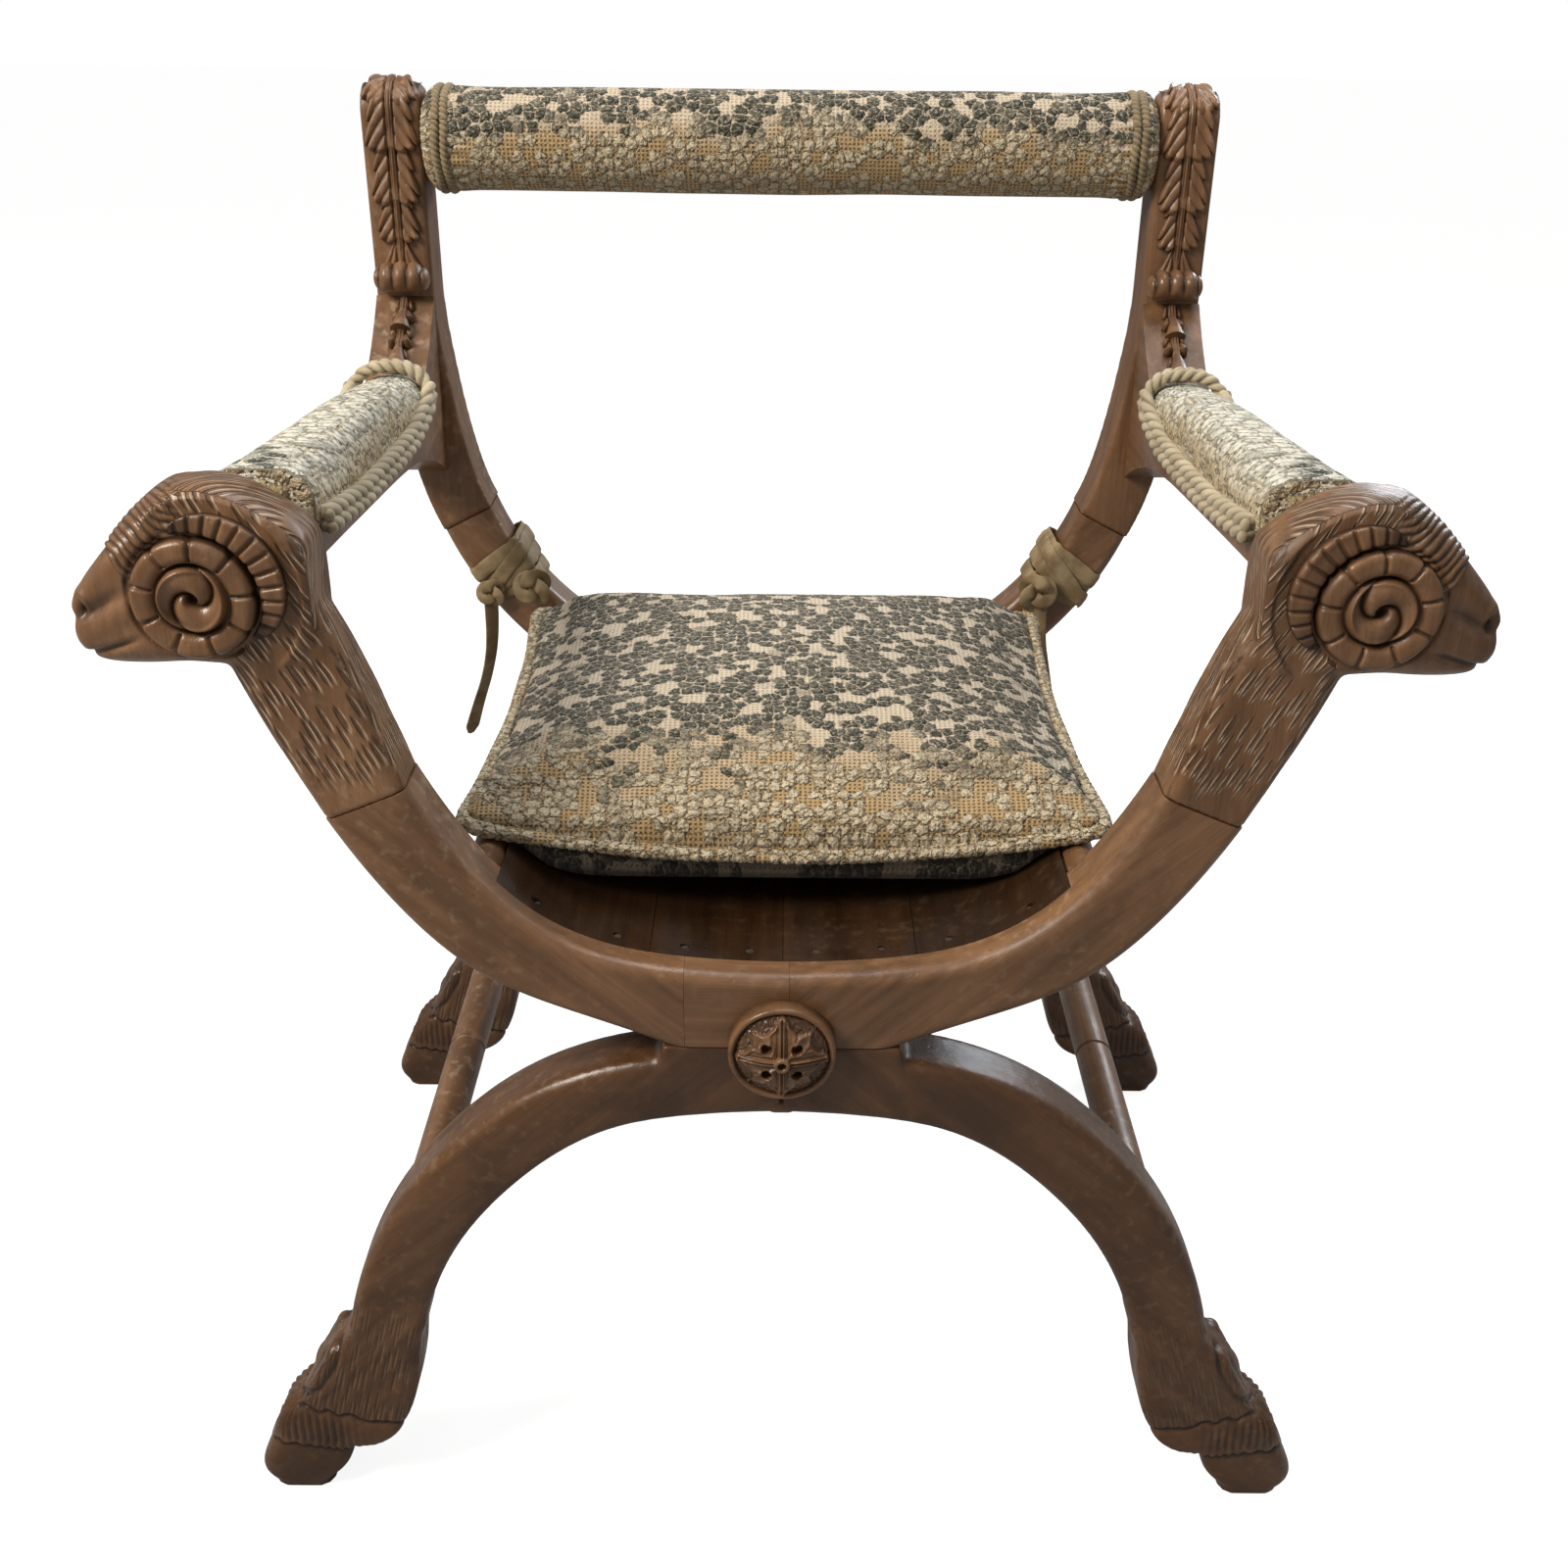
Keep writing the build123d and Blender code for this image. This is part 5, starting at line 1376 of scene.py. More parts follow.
    def mark(self, horn: Piece) -> None:
        """Darkens the horns' furrows."""
        points = corners(horn)
        proud = np.abs(points[:, 1] - FRONT_MID_Y) - self.bed_half
        radius, _ = self.from_horn(points)
        crest = np.where(radius > self.horn_radius + 0.8, 7.4, 9.6)
        store(horn, "recess", np.clip((crest - 0.6 - proud) / 4.2, 0.0, 1.0) * 0.95)

    def build(self, node: Piece) -> None:
        """Makes both heads with their horns."""
        head = fine_copy(node, "ram_head_right", self.voxel, 3)
        self.bed(head)
        carve(head, self.head_cut)
        self.comb(head)
        wood = AgedWood(Grain.UPRIGHT).material()
        parts = [part for face in (1, -1) for part in (self.curl(face), self.band(face))]
        horn = joined(parts, "horns_right")
        close_up(horn)
        self.mark(horn)
        both_sides(head, wood, "ram_post")
        both_sides(horn, wood)


@dataclass(frozen=True)
class Tier:
    """Pair of hanging leaves: its tips' place, length, width, lobes and how far the tips stand out."""

    tip: float
    length: float
    width: float
    lobes: float
    proud: float


@dataclass
class LeafRelief:
    """Carved leaves over a curved ground, as a closed panel.

    The sizes are in millimetres: the panel's length and half width, how high the rib stands, how long the
    fan at the foot is, and how deep the border is sunk. The hem is the share that folds under.
    """

    tiers: Sequence[Tier]
    reach: float
    half_width: float
    rib: float = 3.6
    flare: float = 0.0
    sunk: float = -1.6
    hem: float = 0.06

    def height(self, a: Array, s: Array) -> Array:
        """Height of the leaves over the ground.

        Args:
            a: distances from the rib, in millimetres.
            s: distances along it, from its foot.

        Returns:
            The heights.
        """
        side = np.abs(a)
        height = np.full_like(a, self.sunk)
        for tier in self.tiers:
            t = np.clip((s - tier.tip) / tier.length, -1.0, 1.0)
            up = np.clip(t, 0.0, 1.0)
            outer = tier.width * (0.55 + 0.45 * (1.0 - up) ** 0.8)
            q = side / outer
            slant = (s - tier.tip + 1.05 * side + 0.02 * side * side) * tier.lobes / tier.length
            fingers = np.abs(np.cos(math.pi * slant))
            low = tier.tip + 3.0 * (1.0 - fingers ** 0.6) + 10.0 * np.clip(q - 0.35, 0.0, 1.0) ** 1.7
            edge = outer - 3.6 * (1.0 - fingers ** 0.5)
            inside = np.minimum(s - low, edge - side)
            curl = (tier.proud * (1.0 - up) ** 1.3 + 1.2 * smooth(0.5, 1.0, q)) * smooth(-1.0, 4.0, inside)
            top = 1.0 + curl + 2.1 * fingers ** 0.6 * smooth(1.5, 4.0, side)
            body = self.sunk + (top - self.sunk) * smooth(-0.4, 1.0, inside)
            height = np.where((t > -0.9) & (t < 1.0), np.maximum(height, body), height)
        if self.flare:
            t = np.clip(1.0 - s / self.flare, 0.0, 1.0)
            outer = 4.0 + 13.0 * t ** 1.3
            fan = np.abs(np.cos(math.pi * 2.5 * side / outer))
            top = 1.0 + 3.4 * t + 1.7 * fan ** 0.7
            body = self.sunk + (top - self.sunk) * smooth(-0.3, 1.2, outer - side)
            height = np.where(s < self.flare, np.maximum(height, body), height)
        rib = self.rib + 0.8 * np.cos(side * 2.0 * math.pi / 2.2)
        height = np.where(side < 2.2, np.maximum(height, rib), height)
        return height - 2.2 * ridge(side - 2.9, 0.6)

    def build(self, name: str, x: float, ground: Ground) -> Piece:
        """Makes the panel.

        Args:
            name: the piece's name.
            x: the rib's place across the chair.
            ground: gives y, z and the outward direction's y and z for places along the rib.

        Returns:
            The new piece.
        """

        def shape(u: Array, v: Array) -> Array:
            """Front relief, folded back into the ground at its border."""
            s, hem = self.reach * v, self.hem
            a = self.half_width * (2.0 * np.clip((u - hem) / (1.0 - 2.0 * hem), 0.0, 1.0) - 1.0)
            under = (u < hem) | (u > 1.0 - hem)
            fold = np.clip(np.where(u < hem, 1.0 - u / hem, (u - 1.0 + hem) / hem), 0.0, 1.0)
            a = np.where(under, a * (1.0 - fold), a)
            border = np.minimum(smooth(0.0, 0.012, v), smooth(1.0, 0.988, v))
            height = np.where(under, -2.4, self.sunk + (self.height(a, s) - self.sunk) * border)
            y, z, out_y, out_z = ground(s)
            return rows(x + a, y + out_y * height, z + out_z * height)

        piece = wrapped(name, int(self.half_width * 4.4), int(self.reach * 2.1), shape)
        points = corners(piece)
        y, z, out_y, out_z = ground(np.linspace(0.0, self.reach, 400))
        nearest = np.argmin((points[:, 1][:, None] - y) ** 2 + (points[:, 2][:, None] - z) ** 2, axis=1)
        over = (points[:, 1] - y[nearest]) * out_y[nearest] + (points[:, 2] - z[nearest]) * out_z[nearest]
        store(piece, "recess", np.clip((3.4 - over) / 4.0, 0.0, 1.0) ** 1.3)
        return piece


@dataclass
class Stile:
    """Back post with a hanging acanthus leaf that ends in a roll.

    The sizes are in millimetres: where the straight post ends, the radius of its top, half widths of post
    and leaf, where the leaf ends, how round the corners are, and the even mesh.
    """

    top: float = 851.0
    radius: float = 21.0
    half_width: float = 21.25
    leaf_foot: float = 742.0
    leaf_half: float = 20.6
    corner: float = 11.0
    voxel: float = 1.9
    tiers: Sequence[Tier] = (
        Tier(20.0, 36.0, 17.5, 3.4, 3.2), Tier(46.0, 46.0, 19.5, 3.9, 3.8),
        Tier(82.0, 50.0, 20.6, 4.2, 4.0), Tier(114.0, 36.0, 20.6, 3.4, 2.2),
    )

    def ground(self, s: Array) -> tuple[Array, Array, Array, Array]:
        """Front of the post and its rounded top.

        Args:
            s: distances along the leaf's rib, from its foot.

        Returns:
            y, z, and the outward direction's y and z.
        """
        straight = self.top - self.leaf_foot
        turn = np.clip((s - straight) / self.radius, 0.0, None)
        y = np.where(s < straight, REAR_Y, REAR_MID_Y - self.radius * np.cos(turn))
        z = np.where(s < straight, self.leaf_foot + s, self.top + self.radius * np.sin(turn))
        return y, z, -np.cos(turn), np.sin(turn)

    def post(self, node: Piece) -> Piece:
        """Post without the plain leaf, and with eased shoulders.

        Args:
            node: the right post of the frame.

        Returns:
            The right post.
        """
        piece = copy_of_node(node, "back_post_right")
        points = corners(piece)
        flat = (points[:, 2] > self.leaf_foot - 42.0) & (points[:, 2] < self.top + 0.01)
        points[flat, 1] = np.maximum(points[flat, 1], REAR_Y)
        from_top = points - np.array([0.0, REAR_MID_Y, self.top])
        distance = np.hypot(from_top[:, 1], from_top[:, 2])
        cap = (points[:, 2] >= self.top) & (distance > self.radius)
        scale = self.radius / np.maximum(distance, 1e-6)
        points[cap, 1] = REAR_MID_Y + from_top[cap, 1] * scale[cap]
        points[cap, 2] = self.top + from_top[cap, 2] * scale[cap]
        move_corners(piece, points)
        evened(piece, self.voxel)
        finished(piece, "SMOOTH", factor=0.5, iterations=5)
        points = corners(piece)
        # round both upper corners
        side = points[:, 0] - STILE_X
        high = points[:, 2] - (self.top + self.radius - self.corner)
        over = np.abs(side) - (self.half_width - self.corner)
        reach = np.hypot(over, high)
        beyond = (over > 0.0) & (high > 0.0) & (reach > self.corner)
        scale = self.corner / np.maximum(reach, 1e-6)
        held = self.half_width - self.corner + over * scale
        points[beyond, 0] = STILE_X + (np.sign(side) * held)[beyond]
        points[beyond, 2] = (self.top + self.radius - self.corner + high * scale)[beyond]
        move_corners(piece, points)
        return piece

    def roll(self) -> Piece:
        """Rolled tip of the leaf, with its lobes turned over."""

        def shape(u: Array, v: Array) -> Array:
            """Fat roll across the post, pinched between four lobes."""
            side = 2.0 * v - 1.0
            turn = 2.0 * math.pi * u
            round_off = np.sqrt(np.clip(1.0 - np.abs(side) ** 5.0, 0.0, 1.0))
            lobes = np.abs(np.cos(side * math.pi * 2.0)) ** 0.7
            up = smooth(-0.9, 0.3, np.sin(turn))
            radius = (10.8 + 1.8 * lobes * up - 1.6 * (1.0 - lobes) * up) * round_off
            radius = radius * (1.0 + 0.10 * np.cos(turn))
            y = REAR_Y - 5.5 - radius * 0.98 * np.cos(turn)
            z = self.leaf_foot - 3.0 + radius * 0.94 * np.sin(turn) - 1.2 * side * side
            return rows(STILE_X + self.leaf_half * side, y, z)

        piece = wrapped("leaf_roll_right", 72, 90, shape)
        points = corners(piece)
        side = (points[:, 0] - STILE_X) / self.leaf_half
        pinch = 1.0 - np.abs(np.cos(side * math.pi * 2.0)) ** 0.7
        store(piece, "recess", np.clip(pinch, 0.0, 1.0) ** 1.3 * smooth(724.0, 740.0, points[:, 2]))
        return piece

    def build(self, node: Piece) -> None:
        """Makes both posts with their leaves."""
        relief = LeafRelief(self.tiers, reach=146.0, half_width=20.8, flare=27.0)
        leaf = relief.build("acanthus_right", STILE_X, self.ground)
        post, roll = self.post(node), self.roll()
        wood = AgedWood(Grain.UPRIGHT).material()
        both_sides(post, wood, "stile")
        both_sides(leaf, wood)
        both_sides(roll, wood)


@dataclass
class Husks:
    """Chain of bellflowers on the arm's rise, whose front runs through the line's places (y, z)."""

    x: float = STILE_X - 0.6
    line: Sequence[tuple[float, float]] = (
        (153.1, 679.5), (168.0, 688.0), (182.2, 698.6), (197.0, 711.0), (209.0, 723.0),
    )
    tiers: Sequence[Tier] = (
        Tier(3.0, 22.0, 9.5, 2.0, 6.0), Tier(24.0, 24.0, 10.5, 2.0, 7.0), Tier(47.0, 24.0, 9.5, 2.0, 6.0),
    )

    def ground(self, s: Array) -> tuple[Array, Array, Array, Array]:
        """Front of the arm's rise.

        Args:
            s: distances along the chain, from its foot.

        Returns:
            y, z, and the outward direction's y and z.
        """
        line = Route(np.array([(self.x, *place) for place in self.line]))
        _, y, z = line.at(s).T
        _, ahead_y, ahead_z = line.ahead(s, 4.0).T
        return y, z, -ahead_z, ahead_y

    def build(self) -> None:
        """Makes the husks of both arms."""
        relief = LeafRelief(self.tiers, reach=70.0, half_width=11.0, rib=6.0)
        husks = relief.build("husks_right", self.x, self.ground)
        both_sides(husks, AgedWood(Grain.DEEP).material())


@dataclass
class Rosette:
    """Domed boss with four pointed leaves over a stippled ground, in millimetres."""

    middle: Sequence[float] = (0.0, 376.0)
    radius: float = 32.0
    base: float = 9.0
    field_radius: float = 28.0

    def dome(self, r: Array) -> Array:
        """Height of the plain dome over the yoke's face."""
        return self.base + 8.0 - 8.0 * (np.minimum(r, self.field_radius) / self.field_radius) ** 2

    def height(self, r: Array, turn: Array) -> Array:
        """Height of the carving over the yoke's face.

        Args:
            r: distances from the middle, in millimetres.
            turn: angles round it.

        Returns:
            The heights.
        """
        # four long leaves with ribs
        quarter = (turn + math.pi / 4) % (math.pi / 2) - math.pi / 4
        along, across = r * np.cos(quarter), np.abs(r * np.sin(quarter))
        leaf_half = 9.0 * np.sin(math.pi * np.clip(along / 28.5, 0.0, 1.0) ** 0.80)
        leaf_half += 0.7 * np.sin(along * 0.8)
        leaf = smooth(-0.4, 0.6, leaf_half - across)
        height = self.dome(r) + leaf * (2.2 + 1.2 * smooth(leaf_half - 3.0, leaf_half - 1.0, across))
        height += leaf * (1.6 * ridge(across - 1.0, 0.6) - ridge(across, 0.5))
        height -= leaf * 0.8 * ridge(across - 2.6, 0.8)
        # four lobed leaves between them, each with a drilled hole
        diagonal = math.pi / 4 - np.abs(quarter)
        from_axis, out_axis = r * np.sin(diagonal), r * np.cos(diagonal)
        lobe_half = 6.4 * np.sqrt(np.clip(1.0 - ((out_axis - 12.5) / 10.0) ** 2, 0.0, 1.0))
        lobe_half += 1.1 * np.sin(out_axis * 1.15)
        lobe = smooth(-0.4, 0.6, lobe_half - from_axis) * (1.0 - leaf)
        height += lobe * (2.0 + 1.4 * ridge(from_axis - 3.4, 1.4))
        hole = np.hypot(from_axis, out_axis - 12.6)
        height -= 6.0 * smooth(3.4, 2.5, hole)
        height += 0.7 * ridge(hole - 4.0, 0.8)
        # stippled ground, rim and button
        ground = (1.0 - leaf) * (1.0 - lobe) * smooth(7.0, 10.0, r)
        dots = grain_noise(rows(r * np.cos(turn) / 1.1, r * np.sin(turn) / 1.1, 0.0 * r), 7)
        height += ground * 0.6 * dots
        rim = self.base + 2.2 * np.sqrt(np.clip(1.0 - ((r - 30.2) / 1.9) ** 2, 0.0, 1.0))
        height = np.where(r > self.field_radius, rim, height - ridge(r - self.field_radius, 0.8))
        button = smooth(5.2, 4.2, r)
        return height * (1.0 - button) + button * (22.5 - 6.5 * smooth(2.7, 2.1, r))

    def build(self) -> None:
        """Makes the boss as a closed disc."""

        def shape(u: Array, v: Array) -> Array:
            """Carved front, upright edge and flat back."""
            turn = 2.0 * math.pi * u
            share = np.where(v < 0.9, v / 0.88, (1.0 - v) / 0.08)
            r = self.radius * np.clip(share, 0.0, 1.0)
            front = self.height(np.minimum(r, 31.99), turn) * (v < 0.89)
            proud = np.where(v < 0.89, front, np.where(v < 0.92, 0.4, 0.1))
            return rows(self.middle[0] + r * np.cos(turn), FRONT_Y - proud, self.middle[1] + r * np.sin(turn))

        piece = wrapped("carved_rosette", 288, 120, shape)
        points = corners(piece)
        r = np.hypot(points[:, 0], points[:, 2] - self.middle[1])
        depth = self.dome(r) + 3.0 - (FRONT_Y - points[:, 1])
        share = np.where(r > self.field_radius + 0.6, 0.15, 0.62)
        store(piece, "recess", np.clip(depth / 3.2, 0.0, 1.0) * share)
        dressed(piece, AgedWood(Grain.LEVEL).material(), ["front_rosette"])


# ---------------------------------------------------------------- upholstery
def stuff(piece: Piece, pressure: float, most: float, hold: Callable[[Array], Array]) -> None:
    """Lets the cover swell as stuffed cloth does.

    Args:
        piece: the pad, evenly meshed.
        pressure: of the stuffing.
        most: how far a point may move, in millimetres.
        hold: gives how free each point is to move, from 0 to 1.
    """
    rest = corners(piece)
    modifier = piece.modifiers.new("stuffing", "CLOTH")
    settings = modifier.settings
    settings.quality = 5
    settings.mass = 0.3
    settings.tension_stiffness = settings.compression_stiffness = 12.0
    settings.shear_stiffness = 6.0
    settings.bending_stiffness = 0.6
    settings.use_pressure = True
    settings.uniform_pressure_force = pressure
    settings.effector_weights.gravity = 0.0
    modifier.point_cache.frame_start, modifier.point_cache.frame_end = 1, 20
    for frame in range(1, 21):
        bpy.context.scene.frame_set(frame)
    swollen = piece.evaluated_get(bpy.context.evaluated_depsgraph_get())
    flat = np.empty(len(rest) * 3, np.float32)
    swollen.data.vertices.foreach_get("co", flat)
    move = flat.reshape(-1, 3).astype(float) * 1000.0 - rest
    piece.modifiers.remove(modifier)
    bpy.context.scene.frame_set(1)
    length = np.linalg.norm(move, axis=1)
    move *= (np.minimum(length, most) / np.maximum(length, 1e-9) * hold(rest))[:, None]
    move_corners(piece, rest + move)
    finished(piece, "SMOOTH", factor=0.5, iterations=2)
    finished(piece, "SUBSURF", levels=1, render_levels=1)


def cord_along(name: str, line: Array, radius: float, pitch: float, closed: bool = False) -> Piece:
    """Twisted cord of two strands.

    Args:
        name: the piece's name.
        line: points of its middle line, in millimetres.
        radius: of the whole cord.
        pitch: length of one whole turn.
        closed: whether it is a ring.

    Returns:
        The cord, with its grooves marked for the finish.
    """
    route = Route(line, closed)
    turns = max(1, round(route.reach / pitch))

    def shape(u: Array, v: Array) -> Array:
        """Lobed section that turns as it runs along."""
        ahead = route.ahead(v * route.reach, 1.5)
        lean = np.where(np.abs(ahead[:, 2:3]) > 0.9, np.array([[0.0, 1.0, 0.0]]), np.array([[0.0, 0.0, 1.0]]))
        turn = 2.0 * math.pi * u
        lobes = np.abs(np.cos(turn - 2.0 * math.pi * turns * v))
        size = radius * (0.58 + 0.46 * lobes ** 0.75)
        if not closed:
            size = size * np.sqrt(np.minimum(smooth(-1e-4, 0.004, v), smooth(1.0001, 0.996, v)))
        return beside(route.at(v * route.reach), ahead, lean, size * np.cos(turn), size * np.sin(turn))

    piece = wrapped(name, 20, int(route.reach / 1.1), shape)
    places = corners(piece)
    path = route.at(np.linspace(0.0, route.reach, max(200, int(route.reach))))
    block = 4000  # keeps the table of distances small
    distance = np.empty(len(places))
    for start in range(0, len(places), block):
        apart = places[start:start + block, None, :] - path[None]
        distance[start:start + block] = np.sqrt((apart ** 2).sum(axis=2).min(axis=1))
    store(piece, "recess", np.clip((radius * 0.92 - distance) / (radius * 0.3), 0.0, 1.0) * 0.85)
    return piece


def in_arm(points: Array) -> Array:
    """Places of the right arm, turned in by its toe-in about the stile."""
    moved = points.copy()
    across, back = points[:, 0], points[:, 1] - REAR_Y
    moved[:, 0] = STILE_X + across * math.cos(TOE_IN) + back * math.sin(TOE_IN)
    moved[:, 1] = REAR_Y - across * math.sin(TOE_IN) + back * math.cos(TOE_IN)
    return moved


@dataclass
class ArmPads:
    """Stuffed velvet on the arms, with two rows of twisted braid and a ring round the rear end.

    The sizes are in millimetres: the line (y, z) of the rail's top, the pad's half width at both ends,
    the even mesh, how high and how far out each row of braid lies, and where the rows end.
    """

    bed: Sequence[tuple[float, float]] = (
        (-204.65, 676.0), (-113.1, 662.4), (-17.5, 655.9), (53.3, 653.0), (111.5, 658.8), (153.1, 678.2),
    )
    half_front: float = 31.0
    half_rear: float = 25.0
    voxel: float = 4.5
    cords: Sequence[tuple[float, float]] = ((9.8, 2.0), (2.9, 2.8))
    cord_end: float = 131.0

    def bed_height(self, y: Array) -> Array:
        """Height of the rail's top at places along the arm."""
        table = np.array(self.bed)
        return np.interp(y, table[:, 0], table[:, 1])

    def half_width(self, y: Array) -> Array:
        """Half the pad's width at a place along the arm."""
        return np.interp(y, [FRONT_BACK_Y, REAR_Y], [self.half_front, self.half_rear])

    def edge_line(self, lift: float, proud: float) -> Array:
        """Line along the pad's outer lower edge.

        Args:
            lift: how high it lies over the rail's top, in millimetres.
            proud: how far it stands out from the pad.

        Returns:
            The line's points.
        """
        y = np.linspace(FRONT_BACK_Y + 3.0, self.cord_end, 60)
        return rows(self.half_width(y) + proud, y, self.bed_height(y) + lift)

    def ring_line(self) -> Array:
        """Line round the pad's rear end."""
        turn = np.linspace(-0.18 * math.pi, 1.18 * math.pi, 70)
        up = np.where(np.sin(turn) > 0, 22.0, 9.0) * np.sin(turn)
        return rows(28.6 * fuller(np.cos(turn), 0.8), 128.0 + 0.30 * up, 667.0 + up)

    def pad(self, node: Piece) -> Piece:
        """Right pad, swollen over its rail.

        Args:
            node: the right pad of the frame.

        Returns:
            The pad, with its cloth laid out.
        """
        piece = copy_of_node(node, "velvet_arm_right")
        evened(piece, self.voxel)

        def hold(points: Array) -> Array:
            """Free on top, held at the rail and at both ends."""
            over = points[:, 2] - self.bed_height(points[:, 1])
            ends = smooth(-203.0, -185.0, points[:, 1]) * smooth(152.0, 138.0, points[:, 1])
            return smooth(2.0, 14.0, over) * ends

        stuff(piece, 4.0, 3.0, hold)
        points, out = corners(piece), normals(piece)
        x, y, z = points.T
        over = z - self.bed_height(y)
        # small pulls over the braid and folds at the rear end
        pulls = np.abs(np.sin(y * 2.0 * math.pi / 13.0 + 1.2 * grain_noise(points / 20.0, 4)))
        rear = smooth(60.0, 125.0, y)
        folds = grain_noise(rows((y + 0.8 * z) / 8.0, x / 26.0, z / 30.0), 6)
        move = -0.9 * (1.0 - pulls) * smooth(22.0, 6.0, over) * smooth(0.0, 3.0, over)
        move += 1.6 * rear * folds * smooth(3.0, 12.0, over)
        move_corners(piece, points + out * move[:, None])
        # the cloth lies round the arm, and flat on its ends
        around = np.arctan2(x - STILE_X - (y - REAR_Y) * math.tan(TOE_IN), over - 8.0)
        clouds = grain_noise(rows(y / 45.0, around * 1.2, 0.0 * y), 15)
        front = smooth(-110.0, -190.0, y) * smooth(1.2, 0.3, np.abs(around - 0.3))
        cloth = rows(y, around * 27.0)
        end = np.abs(normals(piece)[:, 1]) > 0.75
        cloth[end] = points[end][:, [0, 2]]
        # painted shading of the pile: pale, with darker patches over the front of its top
        store_cloth(piece, cloth, 0.12 + 0.20 * clouds + 0.50 * front)
        store(piece, "full", np.ones(len(points)))
        return piece

    def braid(self) -> Piece:
        """Right arm's braid: two rows along each lower edge and the ring."""
        parts = []
        for side in (1.0, -1.0):
            for row, place in enumerate(self.cords):
                line = self.edge_line(*place) * np.array([side, 1.0, 1.0])
                parts.append(cord_along(f"arm_cord_{row}", in_arm(line), 4.9, 33.0))
        ring = self.ring_line()
        parts.append(cord_along("arm_ring", in_arm(ring), 4.5, 15.0))
        second = ring * np.array([0.96, 1.0, 1.0]) + np.array([0.0, 6.6, 0.6])
        parts.append(cord_along("arm_ring_2", in_arm(second), 4.0, 15.0))
        return joined(parts, "arm_braid_right")

    def build(self, node: Piece, thread: bpy.types.Material) -> None:
        """Makes both pads and their braid.

        Args:
            node: the right pad's frame node.
            thread: finish of the braid.
        """
        pale, ground = (0.900, 0.860, 0.710), (0.700, 0.600, 0.420)
        cloth = CutVelvet(
            "arm_velvet", pale, pale_ground=pale, ground=ground, leaf=88.0, flank=0.80, depth=0.0085
        )
        pad = self.pad(node)
        other = both_sides(pad, cloth.material(), "arm_pad")
        both_sides(self.braid(), thread, "arm_gimp")


@dataclass
class CrestRoll:
    """Stuffed roll between the stiles, gathered at both ends and bound with braid.

    The sizes are in millimetres: height and radius of the roll, where it ends, where it is bound and
    where the braids lie. The body is the share of the mesh outside its end faces.
    """

    height: float = 833.0
    radius: float = 35.6
    reach: float = 263.2
    bound: float = 249.0
    body: float = 0.965
    cords: Sequence[float] = (245.8, 252.2)

    def roll(self) -> Piece:
        """The roll itself."""

        def shape(u: Array, v: Array) -> Array:
            """Round cover with gathers at its ends."""
            share = 2.0 * v - 1.0
            x = np.sign(share) * self.reach * np.clip(np.abs(share) / self.body, 0.0, 1.0)
            turn = 2.0 * math.pi * u
            near = smooth(26.0, 3.0, self.bound - np.abs(x))
            gathers = np.sin(turn * 31.0 + 2.0 * np.sin(turn * 3.0 + np.sign(x)))
            place = rows(x / 70.0, np.cos(turn) * 1.4 + 9.0, np.sin(turn) * 1.4 + 5.0)
            radius = self.radius + 0.7 * grain_noise(place, 8) + near * 0.9 * gathers
            radius -= 2.2 * ridge(np.abs(x) - self.bound, 5.0)
            radius *= 1.0 - 0.16 * smooth(self.reach - 7.0, self.reach, np.abs(x))
            radius *= np.clip((1.0 - np.abs(share)) / (1.0 - self.body), 0.0, 1.0)
            return rows(x, REAR_MID_Y + radius * np.cos(turn), self.height + radius * np.sin(turn))

        piece = wrapped("velvet_crest", 170, 300, shape)
        points, out = corners(piece), normals(piece)
        around = np.arctan2(points[:, 1] - REAR_MID_Y, points[:, 2] - self.height)
        cloth = rows(points[:, 0], around * self.radius)
        clouds = grain_noise(rows(*cloth.T / 24.0, 0.0 * around), 17)
        # painted shading of the pile: dark where the roll faces up, pale below
        store_cloth(piece, cloth, 0.10 + 0.80 * smooth(-0.05, 0.62, out[:, 2] + 0.25 * clouds))
        return piece

    def bindings(self) -> Piece:
        """Two twisted cords round each end."""
        parts = []
        turn = np.linspace(0.0, 2.0 * math.pi, 120, endpoint=False)
        for side in (-1.0, 1.0):
            for row, place in enumerate(self.cords):
                wobble = 0.4 * np.sin(turn * 5.0 + row)
                y = REAR_MID_Y + (self.radius - 1.0) * np.cos(turn)
                z = self.height + (self.radius - 1.0) * np.sin(turn)
                ring = rows(side * place + wobble, y, z)
                parts.append(cord_along(f"crest_cord_{row}", ring, 3.3, 8.0, True))
        return joined(parts, "crest_braid")

    def build(self) -> None:
        """Makes the roll and its bindings."""
        roll = self.roll()
        dressed(roll, CutVelvet().material(), ["crest_pad"])
        thread = Thread("crest_thread", (0.330, 0.255, 0.150), (0.120, 0.085, 0.045)).material()
        dressed(self.bindings(), thread, ["crest_gimps"])


